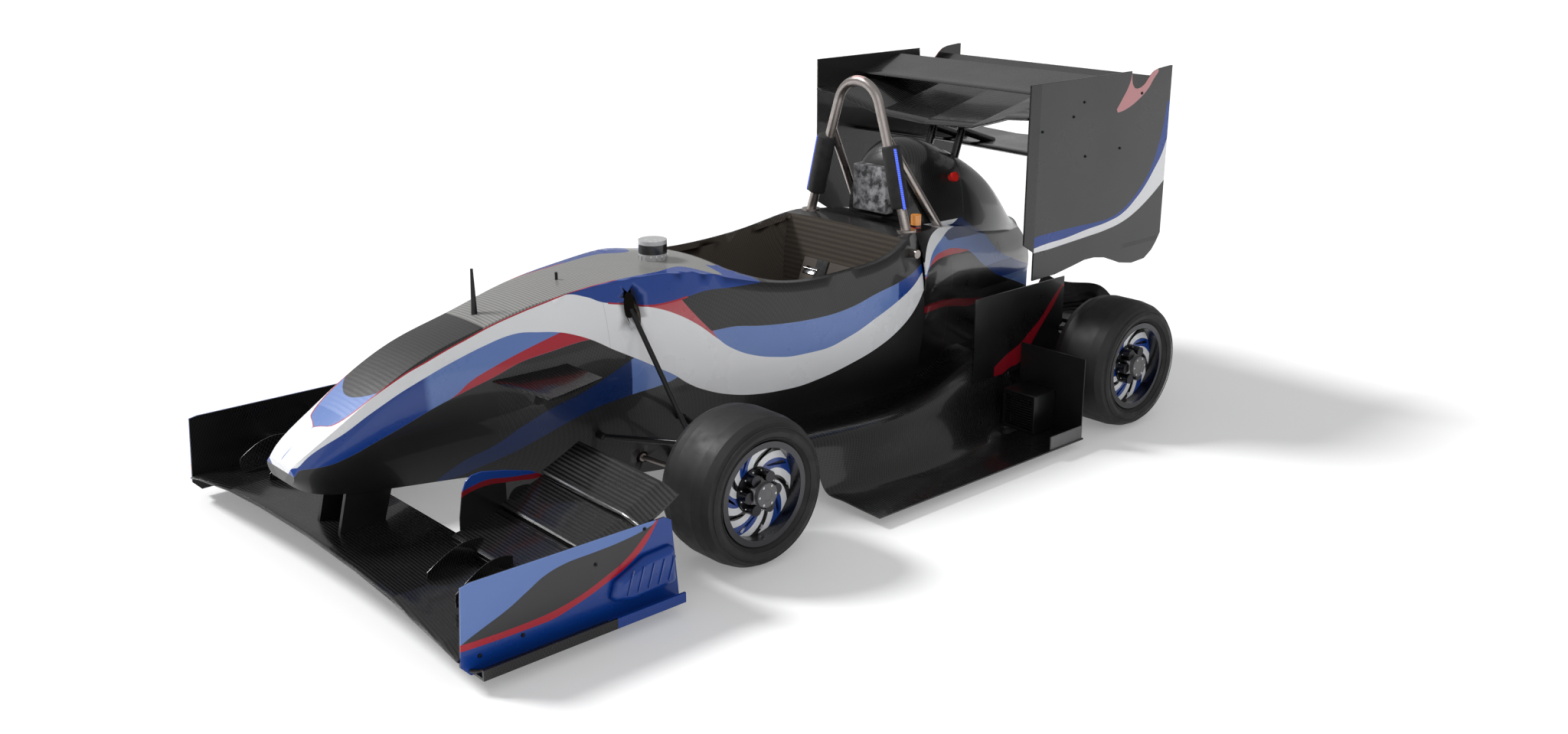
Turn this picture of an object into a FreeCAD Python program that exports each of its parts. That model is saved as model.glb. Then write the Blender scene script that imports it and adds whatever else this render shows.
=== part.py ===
import FreeCAD, Part
import math
import os
import re
import Sketcher
from FreeCAD import Placement, Rotation, Vector

# An open wheel racing car: a single seater with wings, tunnels under its sides and a motor in every wheel.
# X points forward, Y to the car's left and Z up. The origin is the middle of its footprint on the ground.

os.makedirs("parts", exist_ok=True)
doc = FreeCAD.newDocument("RacingCar")

SIZES = {
    # Car
    "car_length": 2925,  # nose tip to the rear wing's trailing corner
    "front_overhang": 935,  # front axle to nose tip
    "wheelbase": 1550,  # front axle to rear axle
    "front_track": 1198,  # middle of one front tyre to the other
    "rear_track": 1226,  # middle of one rear tyre to the other
    # Wheels
    "tyre_radius": 201,  # slick tyre at its tread
    "tyre_width": 201,  # at the widest of its walls
    "tyre_shoulder": 30,  # how far the tread's edge is drawn in
    "tread_crown": 5,  # how far the tread falls off at its shoulder
    "bead_radius": 127,  # where the tyre grips the rim
    "bead_inset": 12,  # from the tyre's wall to the rim's flange
    "flange_height": 10,  # the rim's flange over its bead seat
    "flange_width": 7,  # thickness of the rim's flange
    "barrel_wall": 6,  # thickness of the rim's barrel
    "disc_depth": 38,  # rim's outer edge to the face of its disc
    "disc_thickness": 8,  # the rim's turbine disc
    "blade_gap": 15,  # slot between two blades of the disc
    "blade_sweep": 52,  # how far a slot leans over its length
    "hub_radius": 60,  # flange that the disc is clamped to
    "hub_flange": 8,  # thickness of that flange
    "lobe_circle": 46,  # centres of the planet covers
    "lobe_radius": 15,  # one planet cover
    "lobe_height": 24,  # planet cover over the hub's flange
    "cap_radius": 32,  # flat cap at the middle of the hub
    "cap_height": 38,  # cap over the hub's flange
    "stub_radius": 17,  # stub axle in the hub's bore
    "running_gap": 0.3,  # between faces that turn or slide
    "turning_gap": 6,  # between the hub and the motor housing
    # Uprights
    "kingpin_inset": 54,  # wheel's middle to the steering axis
    "ball_rise": 88,  # ball joints above and below the axle
    "ball_radius": 11,  # ball joint
    "motor_radius": 68,  # housing of the wheel motor
    "motor_depth": 62,  # length of that housing
    "upright_thickness": 20,  # web that joins the ball joints
    "upright_width": 60,  # web at the motor
    "steering_arm": 70,  # kingpin to the tie rod's end, fore and aft
    "arm_inset": 22,  # kingpin to the tie rod's end, sideways
    "arm_drop": 61,  # tie rod's end below the axle
    "arm_thickness": 12,  # steering arm
    "rod_end_gap": 3,  # tie rod's tip to the steering arm, which swings past it
    # Suspension
    "wishbone_radius": 8,  # carbon tube of a wishbone
    "pushrod_radius": 7,  # carbon tube of a push rod
    "front_leg_spread": 125,  # front wishbone's feet, fore and aft of the axle
    "rear_leg_spread": 118,  # rear wishbone's feet, fore and aft of the axle
    "upper_foot_height": 247,  # front upper wishbone's feet
    "lower_foot_height": 118,  # front lower wishbone's feet
    "foot_reach": 24,  # clevis that carries a wishbone's foot
    "foot_radius": 10,  # clevis that carries a wishbone's foot
    "slot_gap": 8,  # round a wishbone where a panel lets it through
    "pushrod_top": 554,  # where the front push rod enters the tub
    "pushrod_hole": 22,  # radius of the hole it enters through
    # Body
    "body_length": 1952,  # nose tip to the bulkhead behind the seat
    "nose_length": 606,  # nose tip to the nose cone's seam, at half height
    "seam_lean": 20.5,  # lean of the seam, in degrees
    "deck_height": 648,  # top of the tub
    "tub_half_width": 300,  # at the cockpit's rim
    "tub_wall": 16,  # sandwich wall of the tub
    "cockpit_front": 1262,  # nose tip to the cockpit opening's front edge
    "cockpit_length": 652,  # cockpit opening
    "cockpit_half_width": 284,  # cockpit opening at its widest
    "rim_depth": 96,  # top of the tub to the lowest point of the opening's rim
    "cowl_length": 722,  # bulkhead to the tail
    "cowl_skin": 5,  # skin of the cowl
    "fairing_top": 876,  # top of the fairing behind the headrest
    "fairing_front": 80,  # bulkhead to the fairing's face
    "fairing_half_width": 158,  # fairing at its widest
    # Cockpit
    "hoop_height": 1083,  # top of the main roll hoop
    "hoop_radius": 15,  # tube of the roll hoop
    "hoop_bend": 90,  # bend at the hoop's top
    "hoop_half_width": 210,  # hoop's feet
    "hoop_setback": 12,  # hoop's feet ahead of the bulkhead's rear face
    "brace_radius": 13,  # tube of a brace
    "brace_setback": 190,  # brace's foot behind the hoop
    "brace_half_width": 176,  # brace's feet
    "brace_rise": 915,  # where a brace meets the hoop
    "foot_plate": 5,  # thickness of the plates under hoop and braces
    "pad_radius": 29,  # sleeve on the hoop's leg
    "pad_low": 700,  # bottom of the sleeve
    "pad_high": 885,  # top of the sleeve
    "headrest_width": 150,  # headrest
    "headrest_height": 150,  # headrest
    "headrest_thickness": 44,  # headrest
    "headrest_base": 652,  # bottom of the headrest
    "seat_width": 330,  # seat
    "seat_shell": 12,  # seat's shell
    "strap_width": 50,  # shoulder strap
    "strap_thickness": 4,  # shoulder strap
    "strap_spread": 78,  # middle of the car to a strap
    "harness_bar_radius": 13,  # cross bar that the straps hang on
    "harness_bar_height": 585,  # cross bar over the ground
    "grip_width": 250,  # steering wheel
    "grip_height": 165,  # steering wheel
    "grip_radius": 13,  # rim of the steering wheel
    "wheel_hub_radius": 36,  # boss of the steering wheel
    "wheel_forward": 352,  # steering wheel ahead of the wheelbase's middle
    "wheel_height": 470,  # middle of the steering wheel
    "column_lean": 24,  # steering column, in degrees
    "column_radius": 10,  # steering column
    "column_length": 150,  # steering column
    "column_bearing": 22,  # bearing block on the column
    # Steering rack
    "rack_setback": 25,  # rack behind the front axle
    "rack_radius": 11,  # sliding bar
    "rack_case_radius": 19,  # rack's case
    "rack_case_length": 230,  # rack's case
    "rack_length": 310,  # sliding bar
    "tie_rod_radius": 7,  # tie rod
    "rack_hole": 18,  # hole in the tub's side for the tie rod
    # Front wing
    "wing_front": 890,  # front axle to the front wing's leading edge
    "wing_half_span": 703,  # middle of the car to the endplate's inner face
    "wing_clearance": 132,  # main plane's leading edge over the ground
    "wing_chord": 266,  # main plane
    "wing_thickness": 26,  # main plane
    "flap_chord": 165,  # each flap
    "flap_thickness": 14,  # each flap
    "flap_inner": 300,  # middle of the car to the flaps' inner ends
    "plate_length": 594,  # front endplate
    "plate_height": 214,  # front endplate
    "plate_low": 34,  # front endplate over the ground
    "plate_thickness": 6,  # front endplate
    "gutter_width": 42,  # gutter along the endplate's foot
    "fence_length": 220,  # inner fence
    "fence_height": 190,  # inner fence
    "fence_offset": 276,  # middle of the car to the inner fence
    "fence_thickness": 4,  # fences and boards
    "mast_length": 120,  # mast between nose and front wing, fore and aft
    "mast_thickness": 12,  # mast between nose and front wing
    "mast_offset": 48,  # middle of the car to a mast
    "winglet_span": 200,  # winglet on the nose, out from the tub's side
    "winglet_chord": 165,  # winglet on the nose
    # Rear wing
    "rear_wing_half_span": 452,  # middle of the car to the endplate's inner face
    "rear_plate_length": 725,  # rear endplate
    "rear_plate_top": 1076,  # top of the rear endplate
    "rear_plate_height": 600,  # rear endplate
    "rear_plate_thickness": 6,  # rear endplate
    "rear_main_chord": 345,  # main plane
    "rear_flap_chord": 216,  # top flap
    "rear_tail_chord": 250,  # rear flap
    "rear_lower_chord": 330,  # lower plane
    "rear_wing_thickness": 30,  # main plane
    "pylon_radius": 13,  # swan neck
    "pylon_offset": 60,  # middle of the car to a swan neck
    # Floor
    "floor_half_width": 712,  # middle of the car to the floor's edge
    "floor_clearance": 32,  # floor's edge over the ground
    "floor_skin": 4,  # floor
    "tunnel_height": 230,  # tunnel's roof at its highest
    "floor_front": 388,  # front axle to the floor's leading edge
    "floor_length": 890,  # floor ahead of the rear wheels
    "diffuser_length": 560,  # floor between the rear wheels
    "diffuser_half_width": 486,  # middle of the car to the diffuser's edge
    "board_offset": 430,  # middle of the car to the side board
    "board_length": 431,  # side board
    "board_top": 448,  # top of the side board
    "board_low": 184,  # bottom of the side board
    "screen_width": 244,  # board ahead of the rear wheel
    "screen_top": 282,  # top of that board
    "duct_width": 112,  # radiator's duct
    "duct_height": 112,  # radiator's duct
    "duct_length": 78,  # radiator's duct
    "duct_wall": 4,  # radiator's duct
    "duct_offset": 484,  # middle of the car to the duct
    "fan_radius": 58,  # fan's shroud
    "fan_depth": 24,  # fan's shroud
    "tag_height": 40,  # plate along the floor's edge
    # Small pieces
    "lidar_radius": 40,  # range scanner
    "lidar_height": 55,  # range scanner
    "lidar_place": 0.127,  # share of the wheelbase behind the front axle
    "antenna_radius": 4,  # antenna
    "antenna_height": 118,  # antenna
    "antenna_ahead": 382,  # antenna ahead of the front axle
    "beacon_radius": 16,  # warning beacon
    "beacon_height": 44,  # warning beacon
    "button_radius": 15,  # shutdown button
    "button_depth": 22,  # shutdown button
    "light_radius": 22,  # rear light
    "light_depth": 20,  # rear light
    "jack_bar_radius": 13,  # bar that a jack lifts the tail by
    "jack_bar_width": 300,  # the same bar
    "jack_bar_height": 150,  # the same bar over the ground
    "jack_bar_setback": 140,  # the same bar behind the tail
    "jack_grip": 85,  # thicker end of the bar that a jack takes
    "pack_length": 430,  # battery pack
    "pack_width": 250,  # battery pack
    "pack_height": 230,  # battery pack
    "overrun": 20,  # how far a cutting shape runs past what it cuts
}

sheet = doc.addObject("Spreadsheet::Sheet", "Sizes")
aliases = list(SIZES)
for line, alias in enumerate(["size"] + aliases):
    if line:
        sheet.set(f"A{line}", alias)
        sheet.set(f"B{line}", str(SIZES[alias]))
        sheet.setAlias(f"B{line}", alias)
doc.recompute()


class Sizes:
    """The sheet's values by name."""

    def __getattr__(self, alias):
        return float(sheet.get(alias))


s = Sizes()
front_x = s.car_length / 2 - s.front_overhang
rear_x = front_x - s.wheelbase
middle_x = (front_x + rear_x) / 2
nose_x = s.car_length / 2
bulkhead_x = nose_x - s.body_length
upper_ball = s.tyre_radius + s.ball_rise
lower_ball = s.tyre_radius - s.ball_rise
front_kingpin_y = s.front_track / 2 - s.kingpin_inset
rear_kingpin_y = s.rear_track / 2 - s.kingpin_inset
rod_height = s.tyre_radius - s.arm_drop
AXLE_X = {"front": "(car_length / 2 - front_overhang)", "rear": "(car_length / 2 - front_overhang - wheelbase)"}
WHEELS = (("front_left", "front", 1), ("front_right", "front", -1),
          ("rear_left", "rear", 1), ("rear_right", "rear", -1))
SIDES = (("left", 1), ("right", -1))
sub_parts = []


def bound(formula):
    """A formula of size names as the sheet's expression."""
    return re.sub(r"[a-z_]+", lambda word: "Sizes." + word.group(0) if word.group(0) in aliases else word.group(0),
                  formula)


def keep(item, label):
    """Names a finished sub-part and puts it on the list."""
    item.Label = label
    sub_parts.append(item)
    return item


def feature(label, shape):
    """A sub-part from a shape that was made in code."""
    item = doc.addObject("Part::Feature", label)
    item.Shape = shape
    item.Placement = shape.Placement
    return keep(item, label)


def bound_sketch(body, name, role, corners):
    """A closed outline on one of the body's planes, every corner tied to the sheet."""
    sketch = body.newObject("Sketcher::SketchObject", name)
    plane = [item for item in body.Origin.OriginFeatures if item.Role == role][0]
    sketch.AttachmentSupport = [(plane, "")]
    sketch.MapMode = "FlatFace"
    count = len(corners)
    turn = 2 * math.pi / count
    start = [Vector(math.cos(turn * i), math.sin(turn * i), 0) for i in range(count)]
    for i in range(count):
        sketch.addGeometry(Part.LineSegment(start[i], start[(i + 1) % count]), False)
    for i in range(count):
        sketch.addConstraint(Sketcher.Constraint("Coincident", i, 2, (i + 1) % count, 1))
    for i, corner in enumerate(corners):
        for kind, value, formula in (("DistanceX", start[i].x, corner[0]), ("DistanceY", start[i].y, corner[1])):
            number = sketch.addConstraint(Sketcher.Constraint(kind, -1, 1, i, 1, value))
            sketch.setExpression(f"Constraints[{number}]", bound(formula))
    return sketch


def revolution(body, name, corners, kind="PartDesign::Revolution"):
    """A turned piece round the body's Y axis, from corners at (radius, distance along the axis)."""
    sketch = bound_sketch(body, name + "Section", "XY_Plane", corners)
    doc.recompute()
    turned = body.newObject(kind, name)
    turned.Profile = sketch
    turned.ReferenceAxis = (sketch, ["V_Axis"])
    turned.Angle = 360
    return turned


def place_by(item, x, y, z):
    """Ties where an object stands to the sheet."""
    for axis, formula in (("x", x), ("y", y), ("z", z)):
        item.setExpression(f"Placement.Base.{axis}", bound(formula))


def tube(start, end, radius):
    """A straight round bar between two points."""
    return Part.makeCylinder(radius, (end - start).Length, start, end - start)


def sub_part(label):
    """The shape of a finished sub-part."""
    return [item for item in sub_parts if item.Label == label][0].Shape


def mirrored(shape):
    """The same shape on the car's other side."""
    return shape.mirror(Vector(0, 0, 0), Vector(0, 1, 0))


def fused(shapes):
    """One solid from shapes that overlap."""
    result = shapes[0]
    if len(shapes) > 1:
        result = shapes[0].multiFuse(shapes[1:])
    return result.removeSplitter()


def curve(points):
    """A smooth edge through points."""
    spline = Part.BSplineCurve()
    spline.interpolate(points)
    return spline.toShape()


def straight(start, end):
    """A straight edge."""
    return Part.LineSegment(start, end).toShape()


def plate(outline, thickness, direction):
    """A flat panel of an outline, its thickness along a direction."""
    wire = Part.makePolygon(list(outline) + [outline[0]])
    return Part.Face(wire).extrude(direction * thickness)


# The tub and nose are one skin. Each row is a section: its place as a share of the body's length, then the
# half widths of shoulder, flank and bottom as shares of the tub's, then the heights of shoulder, crown, flank
# and bottom as shares of the deck's.
BODY_SHARES = (
    (0.0, 0.18, 0.24, 0.16, 0.515, 0.520, 0.490, 0.450),
    (0.023, 0.235, 0.285, 0.20, 0.572, 0.577, 0.495, 0.405),
    (0.057, 0.26, 0.31, 0.22, 0.635, 0.640, 0.515, 0.375),
    (0.108, 0.28, 0.33, 0.235, 0.728, 0.732, 0.545, 0.350),
    (0.188, 0.293, 0.36, 0.25, 0.842, 0.845, 0.580, 0.320),
    (0.267, 0.30, 0.41, 0.275, 0.905, 0.910, 0.600, 0.285),
    (0.339, 0.34, 0.50, 0.33, 0.958, 0.962, 0.600, 0.230),
    (0.415, 0.43, 0.59, 0.39, 0.987, 0.992, 0.580, 0.172),
    (0.477, 0.50, 0.64, 0.43, 0.998, 1.000, 0.560, 0.139),
    (0.570, 0.65, 0.70, 0.47, 0.993, 0.998, 0.550, 0.108),
    (0.645, 0.84, 0.80, 0.52, 0.940, 0.985, 0.540, 0.090),
    (0.725, 0.97, 0.90, 0.57, 0.900, 0.950, 0.520, 0.077),
    (0.826, 1.00, 0.95, 0.62, 0.900, 0.940, 0.510, 0.070),
    (0.902, 1.00, 0.96, 0.64, 0.920, 0.950, 0.500, 0.070),
    (0.963, 0.90, 0.95, 0.64, 0.965, 0.980, 0.500, 0.070),
    (1.000, 0.80, 0.93, 0.63, 0.975, 0.985, 0.500, 0.070),
)


def body_section(shares, inset):
    """One section of the skin, drawn in by an inset."""
    place, shoulder, flank, bottom, shoulder_up, crown_up, flank_up, bottom_up = shares
    x = nose_x - place * s.body_length
    width = s.tub_half_width
    height = s.deck_height
    low_left = Vector(x, bottom * width - inset, bottom_up * height + inset)
    side_left = Vector(x, flank * width - inset, flank_up * height)
    high_left = Vector(x, shoulder * width - inset, shoulder_up * height - inset)
    crown = Vector(x, 0, crown_up * height - inset)
    low_right, side_right, high_right = (Vector(p.x, -p.y, p.z) for p in (low_left, side_left, high_left))
    return Part.Wire([straight(low_right, low_left), curve([low_left, side_left, high_left]),
                      curve([high_left, crown, high_right]), curve([high_right, side_right, low_right])])


def skin_solid():
    """The whole outer shape of nose and tub."""
    return Part.makeLoft([body_section(shares, 0) for shares in BODY_SHARES], True, False)


def seam_block(gap):
    """Everything ahead of the nose cone's seam."""
    half = s.deck_height / 2
    block = Part.makeBox(s.nose_length * 2, s.tub_half_width * 2, s.deck_height * 3,
                         Vector(0, -s.tub_half_width, -s.deck_height * 1.5))
    turned = Placement(Vector(nose_x - s.nose_length + gap, 0, half), Rotation(Vector(0, 1, 0), s.seam_lean * -1))
    block.Placement = turned
    return block


# Half of the cockpit's opening in plan: shares of its length, back from its front edge, and of its half width.
OPENING_SHARES = ((0.0, 0.0), (-0.008, 0.53), (0.04, 0.76), (0.12, 0.90), (0.23, 0.965), (0.53, 1.0),
                  (0.76, 1.0), (0.93, 0.88), (1.0, 0.68), (1.0, 0.0))


def cockpit_cutter():
    """What the cockpit's opening takes out of the deck."""
    front = nose_x - s.cockpit_front
    low = s.deck_height - s.rim_depth
    half = [Vector(front - along * s.cockpit_length, across * s.cockpit_half_width, low)
            for along, across in OPENING_SHARES]
    left = half[1:-1]
    right = [Vector(p.x, -p.y, p.z) for p in reversed(left)]
    edges = [straight(right[-1], left[0]), curve(left), straight(left[-1], right[0]), curve(right)]
    return Part.Face(Part.Wire(edges)).extrude(Vector(0, 0, s.deck_height))


def make_body():
    """The tub with its hollow cockpit, and the nose cone."""
    skin = skin_solid()
    nose = skin.common(seam_block(0))
    tub = skin.cut(seam_block(0))
    hollow_rows = [shares for shares in BODY_SHARES if shares[0] > 0.4 and shares[0] < 0.98]
    hollow = Part.makeLoft([body_section(shares, s.tub_wall) for shares in hollow_rows], True, False)
    tub = tub.cut(hollow).cut(cockpit_cutter().common(skin_over(hollow_rows)))
    rod_y = s.tub_half_width
    for side in (1, -1):
        hole = Part.makeCylinder(s.rack_hole, rod_y, Vector(front_x - s.rack_setback, 0, rod_height),
                                 Vector(0, side, 0))
        pushrod = pushrod_line(side)
        tub = tub.cut(hole).cut(tube(pushrod[1], pushrod[2], s.pushrod_hole))
    feature("nose_cone", nose)
    feature("monocoque", tub)
    return skin


def skin_over(rows):
    """The room over the hollow, which keeps the opening inside the tub's ends."""
    start = nose_x - rows[0][0] * s.body_length
    end = nose_x - rows[-1][0] * s.body_length
    return Part.makeBox(start - end, s.tub_half_width * 2, s.deck_height,
                        Vector(end, -s.tub_half_width, s.deck_height / 2))


def pushrod_line(side):
    """A front push rod's lower end, its hole's two ends."""
    low = Vector(front_x, side * (front_kingpin_y - s.upright_thickness * 2), lower_ball + s.wishbone_radius * 3)
    high = Vector(front_x + s.wishbone_radius, side * s.tub_half_width * 0.6, s.pushrod_top)
    along = (high - low).normalize()
    return low, high - along * s.pushrod_hole, high + along * s.pushrod_hole * 4


# The cowl over the tail: places as shares of its length, half widths of deck, flank and foot as shares of the
# tub's, then their heights as shares of the deck's, and the trough's half width and height at its bottom.
COWL_SHARES = (
    (0.0, 0.79, 0.95, 0.90, 0.972, 0.80, 0.62, 0.63, 0.070),
    (0.22, 0.68, 0.84, 0.79, 0.955, 0.77, 0.60, 0.58, 0.072),
    (0.50, 0.50, 0.66, 0.62, 0.900, 0.74, 0.58, 0.52, 0.085),
    (0.78, 0.32, 0.50, 0.48, 0.840, 0.71, 0.56, 0.46, 0.120),
    (1.0, 0.16, 0.33, 0.34, 0.795, 0.69, 0.57, 0.33, 0.180),
)


def cowl_section(shares, inset):
    """One section of the cowl."""
    place, deck, flank, foot, deck_up, flank_up, foot_up = shares[:7]
    x = bulkhead_x - place * s.cowl_length
    width, height = s.tub_half_width, s.deck_height
    foot_left = Vector(x, foot * width - inset, foot_up * height)
    flank_left = Vector(x, flank * width - inset, flank_up * height)
    deck_left = Vector(x, deck * width - inset, deck_up * height - inset)
    foot_right, flank_right, deck_right = (Vector(p.x, -p.y, p.z) for p in (foot_left, flank_left, deck_left))
    return Part.Wire([straight(foot_right, foot_left), curve([foot_left, flank_left, deck_left]),
                      straight(deck_left, deck_right), curve([deck_right, flank_right, foot_right])])


def trough_section(shares):
    """One section of the tub's rear, up to the cowl's foot."""
    place, foot, foot_up, bottom, bottom_up = shares[0], shares[3], shares[6], shares[7], shares[8]
    x = bulkhead_x - place * s.cowl_length
    width, height = s.tub_half_width, s.deck_height
    high_left = Vector(x, foot * width, foot_up * height)
    side_left = Vector(x, (foot * 2 + bottom) / 3 * width, (foot_up + bottom_up) / 2 * height)
    low_left = Vector(x, bottom * width, bottom_up * height)
    high_right, side_right, low_right = (Vector(p.x, -p.y, p.z) for p in (high_left, side_left, low_left))
    return Part.Wire([straight(low_right, low_left), curve([low_left, side_left, high_left]),
                      straight(high_left, high_right), curve([high_right, side_right, low_right])])


# The fairing behind the headrest: places as shares of the cowl's length, its half width as a share of its
# widest, and its foot and top as shares of the fairing's height.
FAIRING_SHARES = (
    (0.11, 0.80, 0.70, 0.910),
    (0.24, 0.95, 0.69, 1.000),
    (0.42, 1.00, 0.66, 0.960),
    (0.72, 0.86, 0.62, 0.807),
    (0.84, 0.66, 0.60, 0.703),
    (0.99, 0.36, 0.57, 0.620),
)


def fairing_section(shares):
    """An arch of the fairing."""
    place, half, foot_up, top_up = shares
    x = bulkhead_x - place * s.cowl_length
    half = half * s.fairing_half_width
    foot, top = foot_up * s.fairing_top, top_up * s.fairing_top
    rise = top - foot
    left = Vector(x, half, foot)
    arch = [left, Vector(x, half * 0.96, foot + rise * 0.45), Vector(x, half * 0.66, foot + rise * 0.86),
            Vector(x, 0, top)]
    back = [Vector(p.x, -p.y, p.z) for p in reversed(arch[:-1])]
    return Part.Wire([curve(arch + back), straight(Vector(x, -half, foot), left)])


def make_tail():
    """The tub's rear trough with the battery pack in it, and the cowl with its fairing."""
    trough = Part.makeLoft([trough_section(shares) for shares in COWL_SHARES], True, False)
    pack_x = bulkhead_x - s.tub_wall - s.pack_length
    pack_low = COWL_SHARES[2][8] * s.deck_height + s.tub_wall
    pocket = Part.makeBox(s.pack_length + s.running_gap, s.pack_width + s.running_gap * 2, s.deck_height,
                          Vector(pack_x, -s.pack_width / 2 - s.running_gap, pack_low))
    feature("rear_tub", trough.cut(pocket))
    pack = doc.addObject("Part::Box", "battery_pack")
    for side_name, formula in (("Length", "pack_length"), ("Width", "pack_width"), ("Height", "pack_height")):
        pack.setExpression(side_name, bound(formula))
    pack.Placement.Base = Vector(pack_x, -s.pack_width / 2, pack_low)
    keep(pack, "battery_pack")
    cowl = Part.makeLoft([cowl_section(shares, 0) for shares in COWL_SHARES], True, False)
    room = Part.makeLoft([cowl_section(shares, s.cowl_skin) for shares in COWL_SHARES[:-1]], True, False)
    fairing = Part.makeLoft([fairing_section(shares) for shares in FAIRING_SHARES], True, False)
    cowl = cowl.fuse(fairing).cut(room)
    feature("rear_cowl", cowl.Solids[0])
    return trough, fairing


def hoop_path():
    """The hoop's centre line from foot to foot: where the left leg meets the bend, and the bend's top."""
    x = bulkhead_x + s.hoop_setback
    centre_z = s.hoop_height - s.hoop_radius - s.hoop_bend
    foot = Vector(x, s.hoop_half_width, COWL_SHARES[0][4] * s.deck_height + s.foot_plate)
    reach = math.hypot(foot.y, centre_z - foot.z)
    aim = math.atan2(foot.z - centre_z, foot.y)
    touch = aim + math.acos(s.hoop_bend / reach)
    bend = Vector(x, s.hoop_bend * math.cos(touch), centre_z + s.hoop_bend * math.sin(touch))
    top = Vector(x, 0, centre_z + s.hoop_bend)
    return foot, bend, top


def make_hoop():
    """Main roll hoop with its two braces, feet and the sleeves on its legs."""
    tub, cowl = sub_part("monocoque"), sub_part("rear_cowl")
    foot, bend, top = hoop_path()
    other = [Vector(p.x, -p.y, p.z) for p in (foot, bend)]
    arc = Part.Arc(bend, top, other[1]).toShape()
    path = Part.Wire([straight(foot, bend), arc, straight(other[1], other[0])])
    section = Part.Wire(Part.makeCircle(s.hoop_radius, foot, bend - foot))
    hoop = path.makePipeShell([section], True, False)
    pieces = [hoop]
    pads = []
    for side in (1, -1):
        place = Vector(foot.x, side * foot.y, foot.z)
        pieces.append(Part.makeCylinder(s.hoop_radius * 2, s.foot_plate * 4, place - Vector(0, 0, s.foot_plate * 3)))
        share = (s.brace_rise - foot.z) / (bend.z - foot.z)
        start = Vector(foot.x, side * (foot.y + (bend.y - foot.y) * share), s.brace_rise)
        deck = (COWL_SHARES[0][4] * 0.15 + COWL_SHARES[1][4] * 0.85) * s.deck_height
        end = Vector(foot.x - s.brace_setback, side * s.brace_half_width, deck - s.brace_radius)
        pieces.append(tube(start, end, s.brace_radius))
        low = Vector(foot.x, side * foot.y, foot.z)
        high = Vector(bend.x, side * bend.y, bend.z)
        ends = [low + (high - low) * ((z - low.z) / (high.z - low.z)) for z in (s.pad_low, s.pad_high)]
        pads.append(tube(ends[0], ends[1], s.pad_radius))
    frame = largest(fused(pieces).cut(tub).cut(cowl))
    feature("roll_hoop", frame)
    feature("hoop_pads", Part.makeCompound([largest(pad.cut(frame)) for pad in pads]))


# The seat's shell from the side: shares of the cockpit's length back from its front, and of the deck's height.
SEAT_SHARES = ((0.30, 0.16), (0.44, 0.125), (0.60, 0.15), (0.72, 0.26), (0.84, 0.48), (0.95, 0.76))


def seat_line(lift):
    """The seat's surface as points, lifted off the shell."""
    front = nose_x - s.cockpit_front
    return [Vector(front - along * s.cockpit_length + lift * 0.8, 0, up * s.deck_height + lift * 0.6)
            for along, up in SEAT_SHARES]


def ribbon(top, bottom, middle_y, width):
    """A band between two lines seen from the side."""
    edges = [curve(top), straight(top[-1], bottom[-1]), curve(list(reversed(bottom))), straight(bottom[0], top[0])]
    face = Part.Face(Part.Wire(edges))
    face.translate(Vector(0, middle_y - width / 2, 0))
    return face.extrude(Vector(0, width, 0))


def make_seat():
    """Seat, shoulder straps, cross bar and headrest."""
    seat = ribbon(seat_line(s.seat_shell), seat_line(0), 0, s.seat_width)
    feature("seat", largest(seat.cut(sub_part("monocoque"))))
    lift = s.seat_shell + s.running_gap
    straps = [ribbon(seat_line(lift + s.strap_thickness)[2:], seat_line(lift)[2:], side * s.strap_spread,
                     s.strap_width) for side in (1, -1)]
    feature("harness", Part.makeCompound([largest(strap.cut(seat)) for strap in straps]))
    bar_x = bulkhead_x + s.tub_wall + s.overrun * 2
    half = s.tub_half_width
    bar = tube(Vector(bar_x, -half, s.harness_bar_height), Vector(bar_x, half, s.harness_bar_height),
               s.harness_bar_radius)
    feature("harness_bar", largest(bar.cut(sub_part("monocoque"))))
    rest = Part.makeBox(s.headrest_thickness, s.headrest_width, s.headrest_height,
                        Vector(bulkhead_x - s.fairing_front + s.running_gap, -s.headrest_width / 2, s.headrest_base))
    rest = rest.makeFillet(s.headrest_thickness / 5, rest.Edges)
    feature("headrest", largest(rest.cut(sub_part("rear_cowl"))))


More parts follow.
